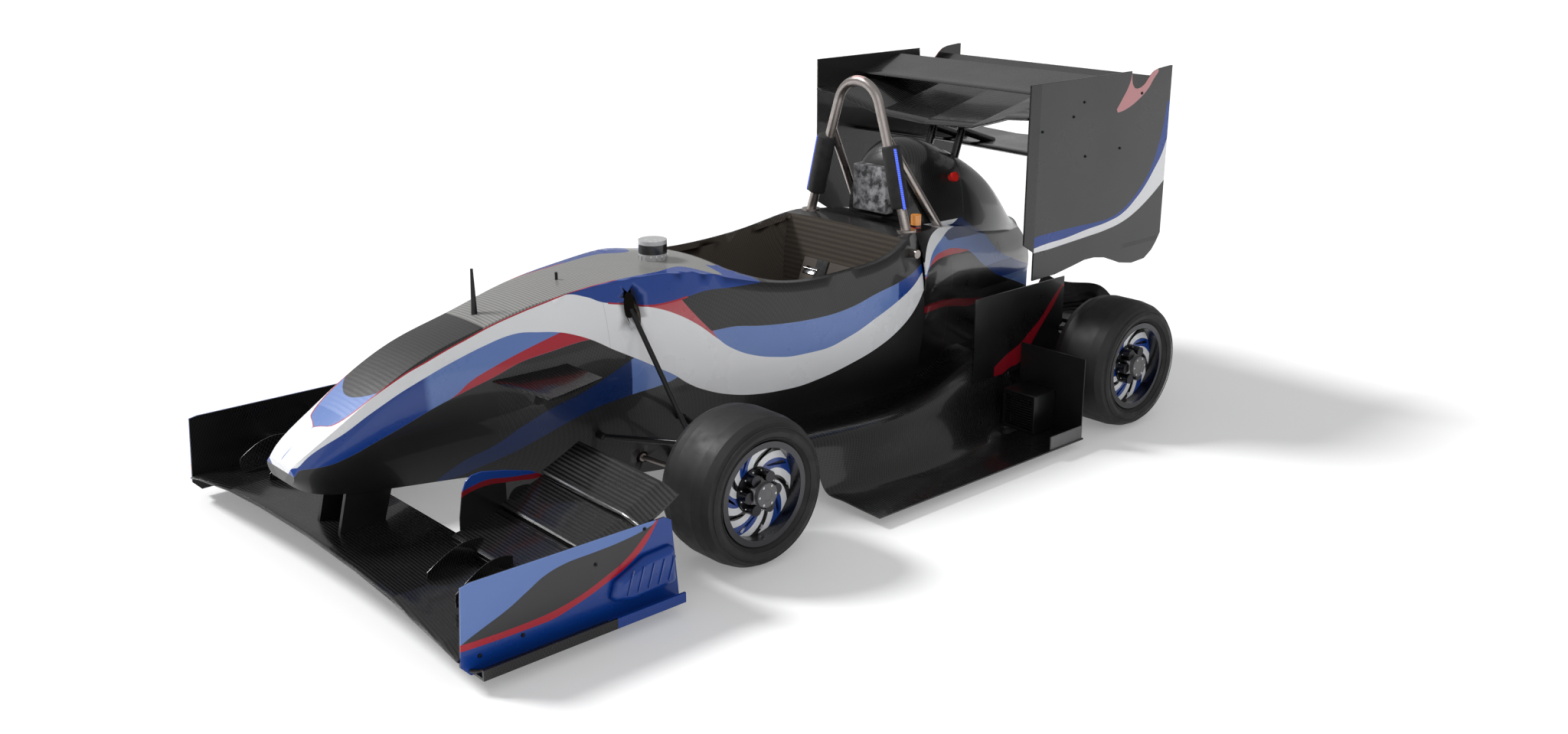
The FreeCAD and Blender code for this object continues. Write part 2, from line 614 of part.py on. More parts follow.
def make_steering():
    """Steering wheel on its column with the bearing that carries it, and the rack with its tie rods."""
    lean = Rotation(Vector(0, 1, 0), s.column_lean)
    centre = Vector(middle_x + s.wheel_forward, 0, s.wheel_height)
    along = lean.multVec(Vector(1, 0, 0))
    half_w, half_h = s.grip_width / 2, s.grip_height / 2
    corners = [Vector(0, half_w, half_h), Vector(0, -half_w, half_h), Vector(0, -half_w, -half_h),
               Vector(0, half_w, -half_h)]
    rim = [tube(corners[i], corners[(i + 1) % 4], s.grip_radius) for i in range(4)]
    rim += [Part.makeSphere(s.grip_radius, corner) for corner in corners]
    boss = Part.makeCylinder(s.wheel_hub_radius, s.grip_radius * 2, Vector(-s.grip_radius, 0, 0), Vector(1, 0, 0))
    spoke = Part.makeBox(s.grip_radius, s.grip_width, s.wheel_hub_radius,
                         Vector(-s.grip_radius / 2, -half_w, -s.wheel_hub_radius / 2))
    shaft = Part.makeCylinder(s.column_radius, s.column_length, Vector(0, 0, 0), Vector(1, 0, 0))
    wheel = fused(rim + [boss, spoke, shaft])
    wheel.Placement = Placement(centre, lean)
    feature("steering_wheel", wheel)
    bearing_at = centre + along * (s.column_length - s.column_bearing)
    deck = s.deck_height - s.tub_wall
    block = Part.makeBox(s.column_bearing, s.column_bearing * 3, deck - bearing_at.z + s.column_bearing,
                         Vector(bearing_at.x - s.column_bearing / 2, -s.column_bearing * 1.5,
                                bearing_at.z - s.column_bearing))
    bore = tube(centre, centre + along * s.column_length * 2, s.column_radius + s.running_gap)
    tub = sub_part("monocoque")
    feature("column_bearing", largest(block.cut(bore).cut(tub)))
    rack_x = front_x - s.rack_setback
    half = s.rack_case_length / 2
    case = tube(Vector(rack_x, -half, rod_height), Vector(rack_x, half, rod_height), s.rack_case_radius)
    case = case.cut(tube(Vector(rack_x, -half * 2, rod_height), Vector(rack_x, half * 2, rod_height),
                         s.rack_radius + s.running_gap))
    floor_z = BODY_SHARES[8][7] * s.deck_height + s.tub_wall / 2
    feet = [Part.makeBox(s.rack_case_radius * 2, s.rack_case_radius, rod_height - s.rack_case_radius * 0.8 - floor_z,
                         Vector(rack_x - s.rack_case_radius, side * half / 2 - s.rack_case_radius / 2, floor_z))
            for side in (1, -1)]
    feature("rack_case", largest(fused([case] + feet).cut(tub)))
    end_y = s.rack_length / 2
    bar = tube(Vector(rack_x, -end_y, rod_height), Vector(rack_x, end_y, rod_height), s.rack_radius)
    rods = []
    for side in (1, -1):
        inner = Vector(rack_x, side * (end_y - s.rack_radius), rod_height)
        eye = arm_tip(side)
        outer = eye + (inner - eye).normalize() * (s.arm_thickness + s.rod_end_gap)
        rods.append(tube(inner, outer, s.tie_rod_radius))
    feature("rack_bar", fused([bar] + rods))


def arm_tip(side):
    """Where a steering arm ends."""
    return Vector(front_x - s.steering_arm, side * (front_kingpin_y - s.arm_inset), rod_height)


def make_front_suspension(skin):
    """Wishbones and push rods of both front wheels, with the clevises on the tub."""
    pieces = []
    for side in (1, -1):
        rods = []
        for ball_z, foot_z in ((upper_ball, s.upper_foot_height), (lower_ball, s.lower_foot_height)):
            ball = Vector(front_x, side * front_kingpin_y, ball_z)
            for way in (1, -1):
                foot = wishbone_foot(skin, front_x + way * s.front_leg_spread, side, foot_z)
                rods += [tube(foot, ball, s.wishbone_radius), Part.makeSphere(s.foot_radius, foot),
                         tube(foot, foot - Vector(0, side * s.foot_reach * 2, 0), s.foot_radius)]
            rods.append(Part.makeSphere(s.ball_radius, ball))
        low, mouth, inside = pushrod_line(side)
        links = fused(rods).cut(skin)
        pushrod = fused([tube(low, mouth + (inside - mouth) * 0.4, s.pushrod_radius),
                         tube(low, Vector(low.x, low.y, lower_ball), s.pushrod_radius)])
        pieces.append(links.fuse(pushrod))
    feature("front_wishbones", Part.makeCompound([solid for piece in pieces for solid in piece.Solids]))


def wishbone_foot(hull, x, side, z):
    """Where a wishbone's foot stands off the hull's side."""
    probe = Part.makeLine(Vector(x, 0, z), Vector(x, s.tub_half_width * 2, z))
    return Vector(x, side * (probe.common(hull).BoundBox.YMax + s.foot_reach), z)


def make_rear_suspension(trough):
    """Wishbones, toe links and push rods of both rear wheels, and the uprights that they carry."""
    pieces, uprights = [], []
    for side in (1, -1):
        rods = []
        for ball_z, foot_z in ((upper_ball, s.upper_foot_height), (lower_ball, s.lower_foot_height)):
            ball = Vector(rear_x, side * rear_kingpin_y, ball_z)
            for way in (1, -1):
                foot = wishbone_foot(trough, rear_x + way * s.rear_leg_spread, side, foot_z)
                rods += [tube(foot, ball, s.wishbone_radius), Part.makeSphere(s.foot_radius, foot),
                         tube(foot, foot - Vector(0, side * s.foot_reach * 2, 0), s.foot_radius)]
            rods.append(Part.makeSphere(s.ball_radius, ball))
        pieces.append(fused(rods).cut(trough))
        web = upright(rear_x, rear_kingpin_y, side)
        uprights.append(web)
    wishbones = [solid.cut(uprights[0]).cut(uprights[1]) for piece in pieces for solid in piece.Solids]
    feature("rear_wishbones", Part.makeCompound([solid for shape in wishbones for solid in shape.Solids]))
    feature("rear_uprights", Part.makeCompound(uprights))


def upright(axle_x, kingpin_y, side):
    """The web between the ball joints with the motor's housing and the stub axle."""
    half_t = s.upright_thickness / 2
    inner, outer = kingpin_y - half_t, kingpin_y + half_t
    reach = s.ball_rise - s.ball_radius - s.turning_gap
    half_w = s.upright_width / 2
    outline = [Vector(axle_x - half_w, side * inner, s.tyre_radius - reach * 0.4),
               Vector(axle_x - half_w * 0.5, side * inner, s.tyre_radius - reach),
               Vector(axle_x + half_w * 0.5, side * inner, s.tyre_radius - reach),
               Vector(axle_x + half_w, side * inner, s.tyre_radius - reach * 0.4),
               Vector(axle_x + half_w, side * inner, s.tyre_radius + reach * 0.4),
               Vector(axle_x + half_w * 0.5, side * inner, s.tyre_radius + reach),
               Vector(axle_x - half_w * 0.5, side * inner, s.tyre_radius + reach),
               Vector(axle_x - half_w, side * inner, s.tyre_radius + reach * 0.4)]
    web = plate(outline, s.upright_thickness, Vector(0, side, 0))
    axle = Vector(axle_x, side * outer, s.tyre_radius)
    housing = Part.makeCylinder(s.motor_radius, s.motor_depth, axle, Vector(0, side, 0))
    stub_length = s.motor_depth + s.turning_gap + s.hub_flange + s.lobe_height
    stub = Part.makeCylinder(s.stub_radius, stub_length, axle, Vector(0, side, 0))
    pins = [tube(Vector(axle_x, side * kingpin_y, s.tyre_radius + way * (reach - s.ball_radius)),
                 Vector(axle_x, side * kingpin_y, s.tyre_radius + way * (s.ball_rise - s.ball_radius
                                                                           - s.running_gap)),
                 s.wishbone_radius) for way in (1, -1)]
    return fused([web, housing, stub] + pins)


def make_knuckles():
    """The front uprights, which steer."""
    for name, side in SIDES:
        tip = arm_tip(side)
        root = Vector(front_x, side * front_kingpin_y, rod_height)
        arm = tube(root, tip, s.arm_thickness * 0.45)
        eye = Part.makeCylinder(s.arm_thickness * 0.7, s.arm_thickness,
                                tip - Vector(0, 0, s.arm_thickness / 2))
        feature("knuckle_" + name, fused([upright(front_x, front_kingpin_y, side), arm, eye]))


def make_wheels():
    """Four wheels: tyre, rim with its turbine disc, and planetary hub."""
    for name, axle, side in WHEELS:
        turn = 0 if side > 0 else 180
        spot = (AXLE_X[axle], f"{side} * {axle}_track / 2", "tyre_radius")
        make_tyre(name, spot, turn)
        make_rim(name, spot, turn)
        make_hub(name, axle, spot, turn)


def wheel_body(label, spot, turn):
    """An empty body in a wheel's place."""
    body = doc.addObject("PartDesign::Body", label)
    body.Placement = Placement(Vector(0, 0, 0), Rotation(Vector(0, 0, 1), turn))
    place_by(body, *spot)
    return keep(body, label)


def make_tyre(name, spot, turn):
    """A slick tyre as a turned section."""
    body = wheel_body("tyre_" + name, spot, turn)
    wall = "tyre_width / 2"
    half = [("bead_radius", f"{wall} - bead_inset - flange_width"),
            ("bead_radius + flange_height", f"{wall} - bead_inset - flange_width"),
            ("bead_radius + flange_height + bead_inset", f"{wall} - bead_inset / 3"),
            ("(bead_radius + tyre_radius) / 2", wall),
            ("tyre_radius - tyre_shoulder", f"{wall} - tyre_shoulder / 10"),
            ("tyre_radius - tread_crown - tyre_shoulder / 3", f"{wall} - tyre_shoulder / 3"),
            ("tyre_radius - tread_crown", f"{wall} - tyre_shoulder"),
            ("tyre_radius", "tyre_width / 5")]
    corners = half + [(radius, f"-({along})") for radius, along in reversed(half)]
    revolution(body, "TyreTurned", corners)


def make_rim(name, spot, turn):
    """Barrel with two flanges and a slotted disc."""
    body = wheel_body("rim_" + name, spot, turn)
    edge = "(tyre_width / 2 - bead_inset)"
    inner = "(bead_radius - barrel_wall)"
    face = f"({edge} - disc_depth)"
    back = f"({face} - disc_thickness)"
    corners = [("hub_radius * 0.6", face), ("hub_radius", face), (inner, face), (inner, edge),
               ("bead_radius + flange_height", edge),
               ("bead_radius + flange_height", f"{edge} - flange_width"),
               ("bead_radius", f"{edge} - flange_width"),
               ("bead_radius", f"-({edge} - flange_width)"),
               ("bead_radius + flange_height", f"-({edge} - flange_width)"),
               ("bead_radius + flange_height", f"-{edge}"),
               (inner, f"-{edge}"), (inner, back), ("hub_radius * 0.6", back)]
    revolution(body, "RimTurned", corners)
    doc.recompute()
    low, high = "(hub_radius + hub_flange)", "(bead_radius - barrel_wall * 2)"
    slot = bound_sketch(body, "SlotOutline", "XZ_Plane",
                        [("-blade_gap / 4", low), ("blade_gap / 4", low),
                         ("blade_sweep + blade_gap / 2", f"{high} * 0.86"), ("blade_sweep - blade_gap / 2", f"{high} * 0.9")])
    doc.recompute()
    pocket = body.newObject("PartDesign::Pocket", "Slot")
    pocket.Profile = slot
    pocket.Type = "ThroughAll"
    pocket.Midplane = True
    doc.recompute()
    ring = body.newObject("PartDesign::PolarPattern", "Slots")
    ring.Originals = [pocket]
    ring.Axis = ([item for item in body.Origin.OriginFeatures if item.Role == "Y_Axis"][0], [""])
    ring.Angle = 360
    ring.Occurrences = 10
    body.Tip = ring


def make_hub(name, axle, spot, turn):
    """Planetary hub: a flange, six planet covers and a flat cap, bored for the stub axle."""
    body = wheel_body("hub_" + name, spot, turn)
    face = "(tyre_width / 2 - bead_inset - disc_depth)"
    back = "(motor_depth + upright_thickness / 2 - kingpin_inset + turning_gap)"
    bore = "(stub_radius + running_gap)"
    tip = f"({face} + hub_flange + cap_height)"
    corners = [(bore, back), ("hub_radius * 0.6 - running_gap", back),
               ("hub_radius * 0.6 - running_gap", face), ("hub_radius", face),
               ("hub_radius", f"{face} + hub_flange"), ("cap_radius", f"{face} + hub_flange"),
               ("cap_radius", f"{tip} - hub_flange / 2"), ("cap_radius - hub_flange / 2", tip),
               (bore, tip)]
    revolution(body, "HubTurned", corners)
    doc.recompute()
    count = 6
    for number in range(count):
        angle = 360 / count * number
        sine, cosine = math.sin(math.radians(angle)), math.cos(math.radians(angle))
        cover = body.newObject("PartDesign::AdditiveCylinder", f"Planet{number}")
        cover.setExpression("Radius", bound("lobe_radius"))
        cover.setExpression("Height", bound("lobe_height"))
        cover.AttachmentSupport = [([item for item in body.Origin.OriginFeatures if item.Role == "XZ_Plane"][0], "")]
        cover.MapMode = "FlatFace"
        cover.MapReversed = True
        cover.setExpression("AttachmentOffset.Base.x", bound(f"lobe_circle * {cosine:.4f}"))
        cover.setExpression("AttachmentOffset.Base.y", bound(f"lobe_circle * {sine:.4f}"))
        cover.setExpression("AttachmentOffset.Base.z", bound(f"{face} + hub_flange"))
        doc.recompute()


def wing(stations, thickness):
    """A wing element. A station is (y, leading edge x, leading edge z, chord, pitch in degrees)."""
    wires = []
    for y, x, z, chord, pitch in stations:
        upper, lower = [], []
        for step in (1.0, 0.72, 0.40, 0.14, 0.02, 0.0):
            camber = 0.32 * step * (1 - step) * thickness
            bulge = thickness * 1.45 * (math.sqrt(step) * 1.0 - step) + thickness * 0.05
            upper.append((step * chord, -camber * 2 + bulge * 0.55))
            lower.append((step * chord, -camber * 2 - bulge * 0.75))
        turn = math.radians(pitch)

        def spot(point):
            along, up = point
            return Vector(x - along * math.cos(turn) + up * math.sin(turn), y,
                          z + along * math.sin(turn) + up * math.cos(turn))

        over = [spot(point) for point in upper]
        under = [spot(point) for point in reversed(lower)]
        wires.append(Part.Wire([curve(over), straight(over[-1], under[0]), curve(under),
                                straight(under[-1], over[0])]))
    return Part.makeLoft(wires, True, True)


# Front wing stations: half span share, then the leading edge's setback and height and the chord as shares.
FRONT_MAIN_SHARES = ((0.0, 0.0, 1.0, 1.0, 3), (0.36, -0.01, 0.97, 1.02, 3), (0.61, -0.03, 0.91, 1.03, 3),
                     (0.91, -0.03, 0.68, 1.03, 3), (1.0, -0.02, 0.56, 1.0, 3))
FLAP_SHARES = ((0.86, 1.22, 1.00, 12), (1.39, 1.52, 0.92, 20), (1.84, 1.92, 0.78, 25))


def make_front_wing():
    """Main plane, two stacks of flaps, endplates, fences and the masts up to the nose."""
    lead_x = front_x + s.wing_front
    left = [(share * s.wing_half_span, lead_x - back * s.wing_chord, up * s.wing_clearance,
             chord * s.wing_chord, pitch) for share, back, up, chord, pitch in FRONT_MAIN_SHARES]
    stations = [(-y, x, z, chord, pitch) for y, x, z, chord, pitch in reversed(left[1:])] + left
    main = wing(stations, s.wing_thickness)
    feature("front_wing_main", main)
    for name, side in SIDES:
        flaps = []
        for back, up, chord, pitch in FLAP_SHARES:
            x, z = lead_x - back * s.wing_chord, up * s.wing_clearance
            ends = [(s.flap_inner, x, z, chord * s.flap_chord, pitch),
                    (s.wing_half_span * 0.9, x, z * 0.97, chord * s.flap_chord, pitch),
                    (s.wing_half_span, x, z * 0.92, chord * s.flap_chord, pitch)]
            flap = wing(ends, s.flap_thickness)
            flaps.append(flap if side > 0 else mirrored(flap))
        feature("front_flaps_" + name, Part.makeCompound(flaps))
        make_front_endplate(name, side, lead_x)
    make_fences(lead_x, main)


# Outline of the front endplate: shares of its length back from its front, and of its height.
PLATE_SHARES = ((0.0, 0.12), (0.02, 0.98), (0.06, 1.0), (0.94, 0.985), (0.97, 0.93), (1.0, 0.0), (0.04, 0.0))


def make_front_endplate(name, side, lead_x):
    """A flat endplate with the gutter along its foot."""
    outline = [Vector(lead_x - along * s.plate_length, side * s.wing_half_span, s.plate_low + up * s.plate_height)
               for along, up in PLATE_SHARES]
    panel = plate(outline, s.plate_thickness, Vector(0, side, 0))
    outer = s.wing_half_span + s.plate_thickness
    gutter_height = s.gutter_width * 0.6
    shelf = Part.makeBox(s.plate_length * 0.93, s.gutter_width, s.plate_thickness,
                         Vector(lead_x - s.plate_length * 0.98, outer, s.plate_low))
    lip = Part.makeBox(s.plate_length * 0.93, s.plate_thickness, gutter_height,
                       Vector(lead_x - s.plate_length * 0.98, outer + s.gutter_width - s.plate_thickness,
                              s.plate_low))
    gutter = shelf.fuse(lip)
    feature("front_endplate_" + name, fused([panel, gutter if side > 0 else mirrored(gutter)]))


def make_fences(lead_x, main):
    """Fences over the flaps' inner ends, and the masts."""
    fences = []
    flap_x = lead_x - s.wing_chord * 0.95
    low = s.wing_clearance * 0.86
    outline = [Vector(flap_x, 0, low), Vector(flap_x - s.fence_length * 0.18, 0, low + s.fence_height),
               Vector(flap_x - s.fence_length * 1.1, 0, low + s.fence_height * 0.66),
               Vector(flap_x - s.fence_length * 1.3, 0, low + s.fence_height * 0.3)]
    for side in (1, -1):
        shape = plate([Vector(p.x, side * (s.flap_inner - s.fence_thickness), p.z) for p in outline],
                      s.fence_thickness, Vector(0, side, 0))
        fences.append(largest(shape.cut(main)))
    feature("wing_fences", Part.makeCompound(fences))
    nose = sub_part("nose_cone")
    masts = []
    for side in (1, -1):
        low_x = lead_x - s.wing_chord * 0.2
        blade = plate([Vector(low_x, side * s.mast_offset, s.wing_clearance * 0.8),
                       Vector(low_x - s.mast_length, side * s.mast_offset, s.wing_clearance * 0.8),
                       Vector(low_x - s.mast_length * 1.6, side * s.mast_offset, s.wing_clearance * 2.6),
                       Vector(low_x - s.mast_length * 0.5, side * s.mast_offset, s.wing_clearance * 2.6)],
                      s.mast_thickness, Vector(0, side, 0))
        trimmed = blade.cut(nose).cut(under_block(lead_x, s.wing_clearance * 0.8)).cut(main)
        pieces = sorted(trimmed.Solids, key=lambda solid: solid.BoundBox.ZMax)
        masts.append(max(pieces, key=lambda solid: solid.Volume))
    feature("wing_masts", Part.makeCompound(masts))


def under_block(lead_x, top):
    """Everything below a height, under the front wing."""
    return Part.makeBox(s.wing_chord * 3, s.tub_half_width * 2, top,
                        Vector(lead_x - s.wing_chord * 2.5, -s.tub_half_width, 0))


def make_winglets(skin):
    """The pair of winglets on the flanks of the nose."""
    lead_x = front_x + s.front_overhang * 0.437
    pair = []
    left = wing([(s.tub_half_width * 0.3, lead_x + s.winglet_chord * 0.1, s.deck_height * 0.70,
                  s.winglet_chord * 1.25, 4),
                 (s.tub_half_width * 0.3 + s.winglet_span, lead_x - s.winglet_chord * 0.3,
                  s.deck_height * 0.665, s.winglet_chord, 8)], s.flap_thickness)
    for side in (1, -1):
        shape = left if side > 0 else mirrored(left)
        pair.append(shape.cut(skin).Solids[0])
    feature("nose_winglets", Part.makeCompound(pair))


# Rear elements: half span share, leading edge's setback as a share of the endplate's length, its height and
# the pitch.
REAR_MAIN_SHARES = ((0.0, 0.047, 0.842, 14), (0.45, 0.040, 0.852, 13), (0.8, -0.008, 0.898, 9),
                    (1.0, -0.010, 0.906, 8))


def make_rear_wing(fairing):
    """Main plane, top flap, rear flap, lower plane, endplates and the swan necks."""
    lead_x = -s.car_length / 2 + s.rear_plate_length
    top = s.rear_plate_top
    half = s.rear_wing_half_span
    left = [(share * half, lead_x - back * s.rear_plate_length, up * top, s.rear_main_chord, pitch)
            for share, back, up, pitch in REAR_MAIN_SHARES]
    stations = [(-y, x, z, chord, pitch) for y, x, z, chord, pitch in reversed(left[1:])] + left
    feature("rear_wing_main", wing(stations, s.rear_wing_thickness))
    flap_x, flap_z = lead_x - s.rear_plate_length * 0.25, top * 0.944
    tail_x, tail_z = lead_x - s.rear_plate_length * 0.57, top * 0.90
    flaps = [wing([(-half, flap_x, flap_z, s.rear_flap_chord, 13), (half, flap_x, flap_z, s.rear_flap_chord, 13)],
                  s.flap_thickness),
             wing([(-half, tail_x, tail_z, s.rear_tail_chord, 18), (half, tail_x, tail_z, s.rear_tail_chord, 18)],
                  s.flap_thickness)]
    feature("rear_wing_flaps", Part.makeCompound(flaps))
    low_x, low_z = lead_x - s.rear_plate_length * 0.245, top * 0.775
    lower = wing([(-half, low_x, low_z * 0.99, s.rear_lower_chord, 2), (0, low_x, low_z, s.rear_lower_chord, -2),
                  (half, low_x, low_z * 0.99, s.rear_lower_chord, 2)], s.rear_wing_thickness)
    feature("rear_wing_lower", lower)
    for name, side in SIDES:
        make_rear_endplate(name, side, lead_x)
    make_pylons(lead_x, low_x, low_z, lower, fairing)


# Outline of the rear endplate: shares of its length back from its front, and of its height down from its top.
REAR_PLATE_SHARES = ((0.0, 0.0), (0.0, 0.78), (0.02, 0.81), (0.07, 0.84), (0.075, 0.99), (0.25, 0.975),
                     (0.58, 0.985), (0.80, 1.06), (1.0, 1.02), (1.0, 0.0), (0.87, 0.0), (0.80, 0.08),
                     (0.73, 0.10), (0.70, 0.0))


def make_rear_endplate(name, side, lead_x):
    """A flat endplate with a notch in its top edge."""
    outline = [Vector(lead_x - along * s.rear_plate_length, side * s.rear_wing_half_span,
                      s.rear_plate_top - down * s.rear_plate_height) for along, down in REAR_PLATE_SHARES]
    feature("rear_endplate_" + name, plate(outline, s.rear_plate_thickness, Vector(0, side, 0)))


def make_pylons(lead_x, low_x, low_z, lower, fairing):
    """The pair of swan necks that carry the rear wing from the fairing."""
    necks = []
    for side in (1, -1):
        y = side * s.pylon_offset
        foot = Vector(lead_x - s.rear_plate_length * 0.13, y, s.fairing_top * 0.82)
        knee = Vector(foot.x - s.rear_plate_length * 0.08, y, low_z + s.rear_wing_thickness * 1.5)
        end = Vector(low_x - s.rear_lower_chord * 0.40, y, low_z - s.rear_wing_thickness * 0.2)
        neck = fused([tube(foot, knee, s.pylon_radius), Part.makeSphere(s.pylon_radius, knee),
                      tube(knee, end, s.pylon_radius)]).cut(fairing).cut(lower)
        necks.append(max(neck.Solids, key=lambda solid: solid.Volume))
    feature("swan_necks", Part.makeCompound(necks))


# Sections of the floor: place as a share of its length back from its front edge, then four (y, z) pairs for
# the tub's side, the valley, the tunnel's ridge and the ridge's foot: shares of the floor's half width and of
# the tunnel's height. The outer edge is at the full half width and lowest.
FLOOR_SHARES = (
    (0.0, (0.20, 0.74), (0.41, 0.52), (0.62, 0.56), (0.72, 0.04)),
    (0.16, (0.20, 0.89), (0.45, 0.54), (0.70, 0.61), (0.81, 0.035)),
    (0.33, (0.20, 1.04), (0.46, 0.50), (0.71, 0.65), (0.83, 0.03)),
    (0.51, (0.20, 1.15), (0.45, 0.50), (0.66, 0.70), (0.83, 0.03)),
    (0.66, (0.20, 1.22), (0.43, 0.54), (0.60, 0.75), (0.79, 0.03)),
    (0.79, (0.20, 1.26), (0.42, 0.65), (0.56, 0.80), (0.72, 0.03)),
    (1.0, (0.20, 0.95), (0.40, 0.80), (0.53, 0.84), (0.67, 0.03)),
)
DIFFUSER_SHARES = (
    (0.0, (0.20, 0.90), (0.50, 0.78), (0.72, 0.80), (0.90, 0.20)),
    (0.4, (0.20, 0.82), (0.50, 0.76), (0.72, 0.78), (0.90, 0.30)),
    (0.72, (0.20, 0.82), (0.50, 0.78), (0.72, 0.79), (0.90, 0.40)),
    (1.0, (0.20, 1.36), (0.50, 1.30), (0.72, 1.32), (0.90, 0.98)),
)


def floor_skin(rows, start_x, length, half_width, edge_up, skin):
    """A shell between a row of sections, its underside lower by the skin's thickness."""
    wires = []
    for row in rows:
        x = start_x - row[0] * length
        over = [Vector(x, y * half_width, s.floor_clearance + z * s.tunnel_height) for y, z in row[1:]]
        edge = Vector(x, half_width, s.floor_clearance + edge_up * row[-1][1] * s.tunnel_height)
        foot = over[-1]
        over += [foot + (edge - foot) * 0.25, (foot + edge) * 0.5, edge]
        under = [Vector(p.x, p.y, p.z - skin) for p in reversed(over)]
        wires.append(Part.Wire([curve(over), straight(over[-1], under[0]), curve(under),
                                straight(under[-1], over[0])]))
    return Part.makeLoft(wires, True, False)


def make_floor(skin, trough):
    """Floor halves with their tunnels, the diffuser, and the boards and radiators on them."""
    start = front_x - s.floor_front
    floor_end = start - s.floor_length
    floors, diffusers, boards, screens, ducts, tags = [], [], [], [], [], []
    floor = floor_skin(FLOOR_SHARES, start, s.floor_length, s.floor_half_width, 0, s.floor_skin)
    under = floor_skin(FLOOR_SHARES, start, s.floor_length, s.floor_half_width, 0, s.tunnel_height)
    tail = floor_skin(DIFFUSER_SHARES, floor_end, s.diffuser_length, s.diffuser_half_width, 0.8, s.floor_skin)
    tail_under = floor_skin(DIFFUSER_SHARES, floor_end, s.diffuser_length, s.diffuser_half_width, 0.8,
                            s.tunnel_height)
    board_x = front_x - s.wheelbase / 2 - s.wheelbase * 0.196
    board = plate([Vector(board_x, s.board_offset, s.board_low), Vector(board_x, s.board_offset, s.board_top),
                   Vector(board_x - s.board_length, s.board_offset, s.board_top),
                   Vector(board_x - s.board_length, s.board_offset, s.board_low)], s.fence_thickness,
                  Vector(0, 1, 0))
    screen_x = floor_end
    screen_y = s.floor_half_width - s.screen_width - s.fence_thickness * 2
    screen = Part.makeBox(s.fence_thickness, s.screen_width, s.screen_top - s.floor_clearance + s.floor_skin,
                          Vector(screen_x, screen_y, s.floor_clearance - s.floor_skin))
    duct_x = screen_x + s.fence_thickness + s.fan_depth
    duct_z = s.floor_clearance + s.fence_thickness * 2
    duct = Part.makeBox(s.duct_length, s.duct_width, s.duct_height, Vector(duct_x, s.duct_offset, duct_z))
    duct = duct.makeFillet(s.duct_width / 12, [edge for edge in duct.Edges
                                               if abs(edge.tangentAt(edge.FirstParameter).x) > 0.9])
    room = Part.makeBox(s.duct_length, s.duct_width - s.duct_wall * 2, s.duct_height - s.duct_wall * 2,
                        Vector(duct_x + s.duct_length * 0.35, s.duct_offset + s.duct_wall, duct_z + s.duct_wall))
    fan = Part.makeCylinder(s.fan_radius, s.fan_depth,
                            Vector(duct_x - s.fan_depth, s.duct_offset + s.duct_width / 2,
                                   duct_z + s.duct_height / 2 + s.duct_wall), Vector(1, 0, 0))
    radiator = fused([duct.cut(room), fan]).cut(under)
    tag_x = screen_x + s.fence_thickness
    tag = Part.makeBox(s.duct_length + s.fan_depth * 3, s.fence_thickness, s.tag_height,
                       Vector(tag_x, s.floor_half_width - s.fence_thickness * 2, s.floor_clearance))
    for side in (1, -1):
        def hand(shape):
            return shape if side > 0 else mirrored(shape)

        floors.append(largest(hand(floor).cut(skin).cut(trough)))
        room = wishbone_room(trough, side)
        diffusers.append(largest(hand(tail).cut(skin).cut(trough).cut(room)))
        boards.append(largest(hand(board.cut(under).cut(tail_under).cut(screen)).cut(room)))
        screens.append(largest(hand(screen.cut(under).cut(tail_under))))
        ducts.append(largest(hand(radiator)))
        tags.append(largest(hand(tag.cut(under))))
    feature("floor", Part.makeCompound(floors))
    feature("diffuser", Part.makeCompound(diffusers))
    feature("side_boards", Part.makeCompound(boards))
    feature("radiator_boards", Part.makeCompound(screens))
    feature("radiators", Part.makeCompound(ducts))
    feature("floor_tags", Part.makeCompound(tags))


def wishbone_room(trough, side):
    """The room that a side's rear wishbones take, with a gap all round."""
    room = []
    for ball_z, foot_z in ((upper_ball, s.upper_foot_height), (lower_ball, s.lower_foot_height)):
        ball = Vector(rear_x, side * rear_kingpin_y, ball_z)
        for way in (1, -1):
            foot = wishbone_foot(trough, rear_x + way * s.rear_leg_spread, side, foot_z)
            room.append(tube(foot, ball, s.wishbone_radius + s.slot_gap))
    return Part.makeCompound(room)


def largest(shape):
    """The largest solid of a shape."""
    return max(shape.Solids, key=lambda solid: solid.Volume)


def deck_point(skin, x, y):
    """The point of the skin's top over a place in plan."""
    probe = Part.makeLine(Vector(x, y, s.deck_height / 2), Vector(x, y, s.deck_height * 2))
    return Vector(x, y, probe.common(skin).BoundBox.ZMax)


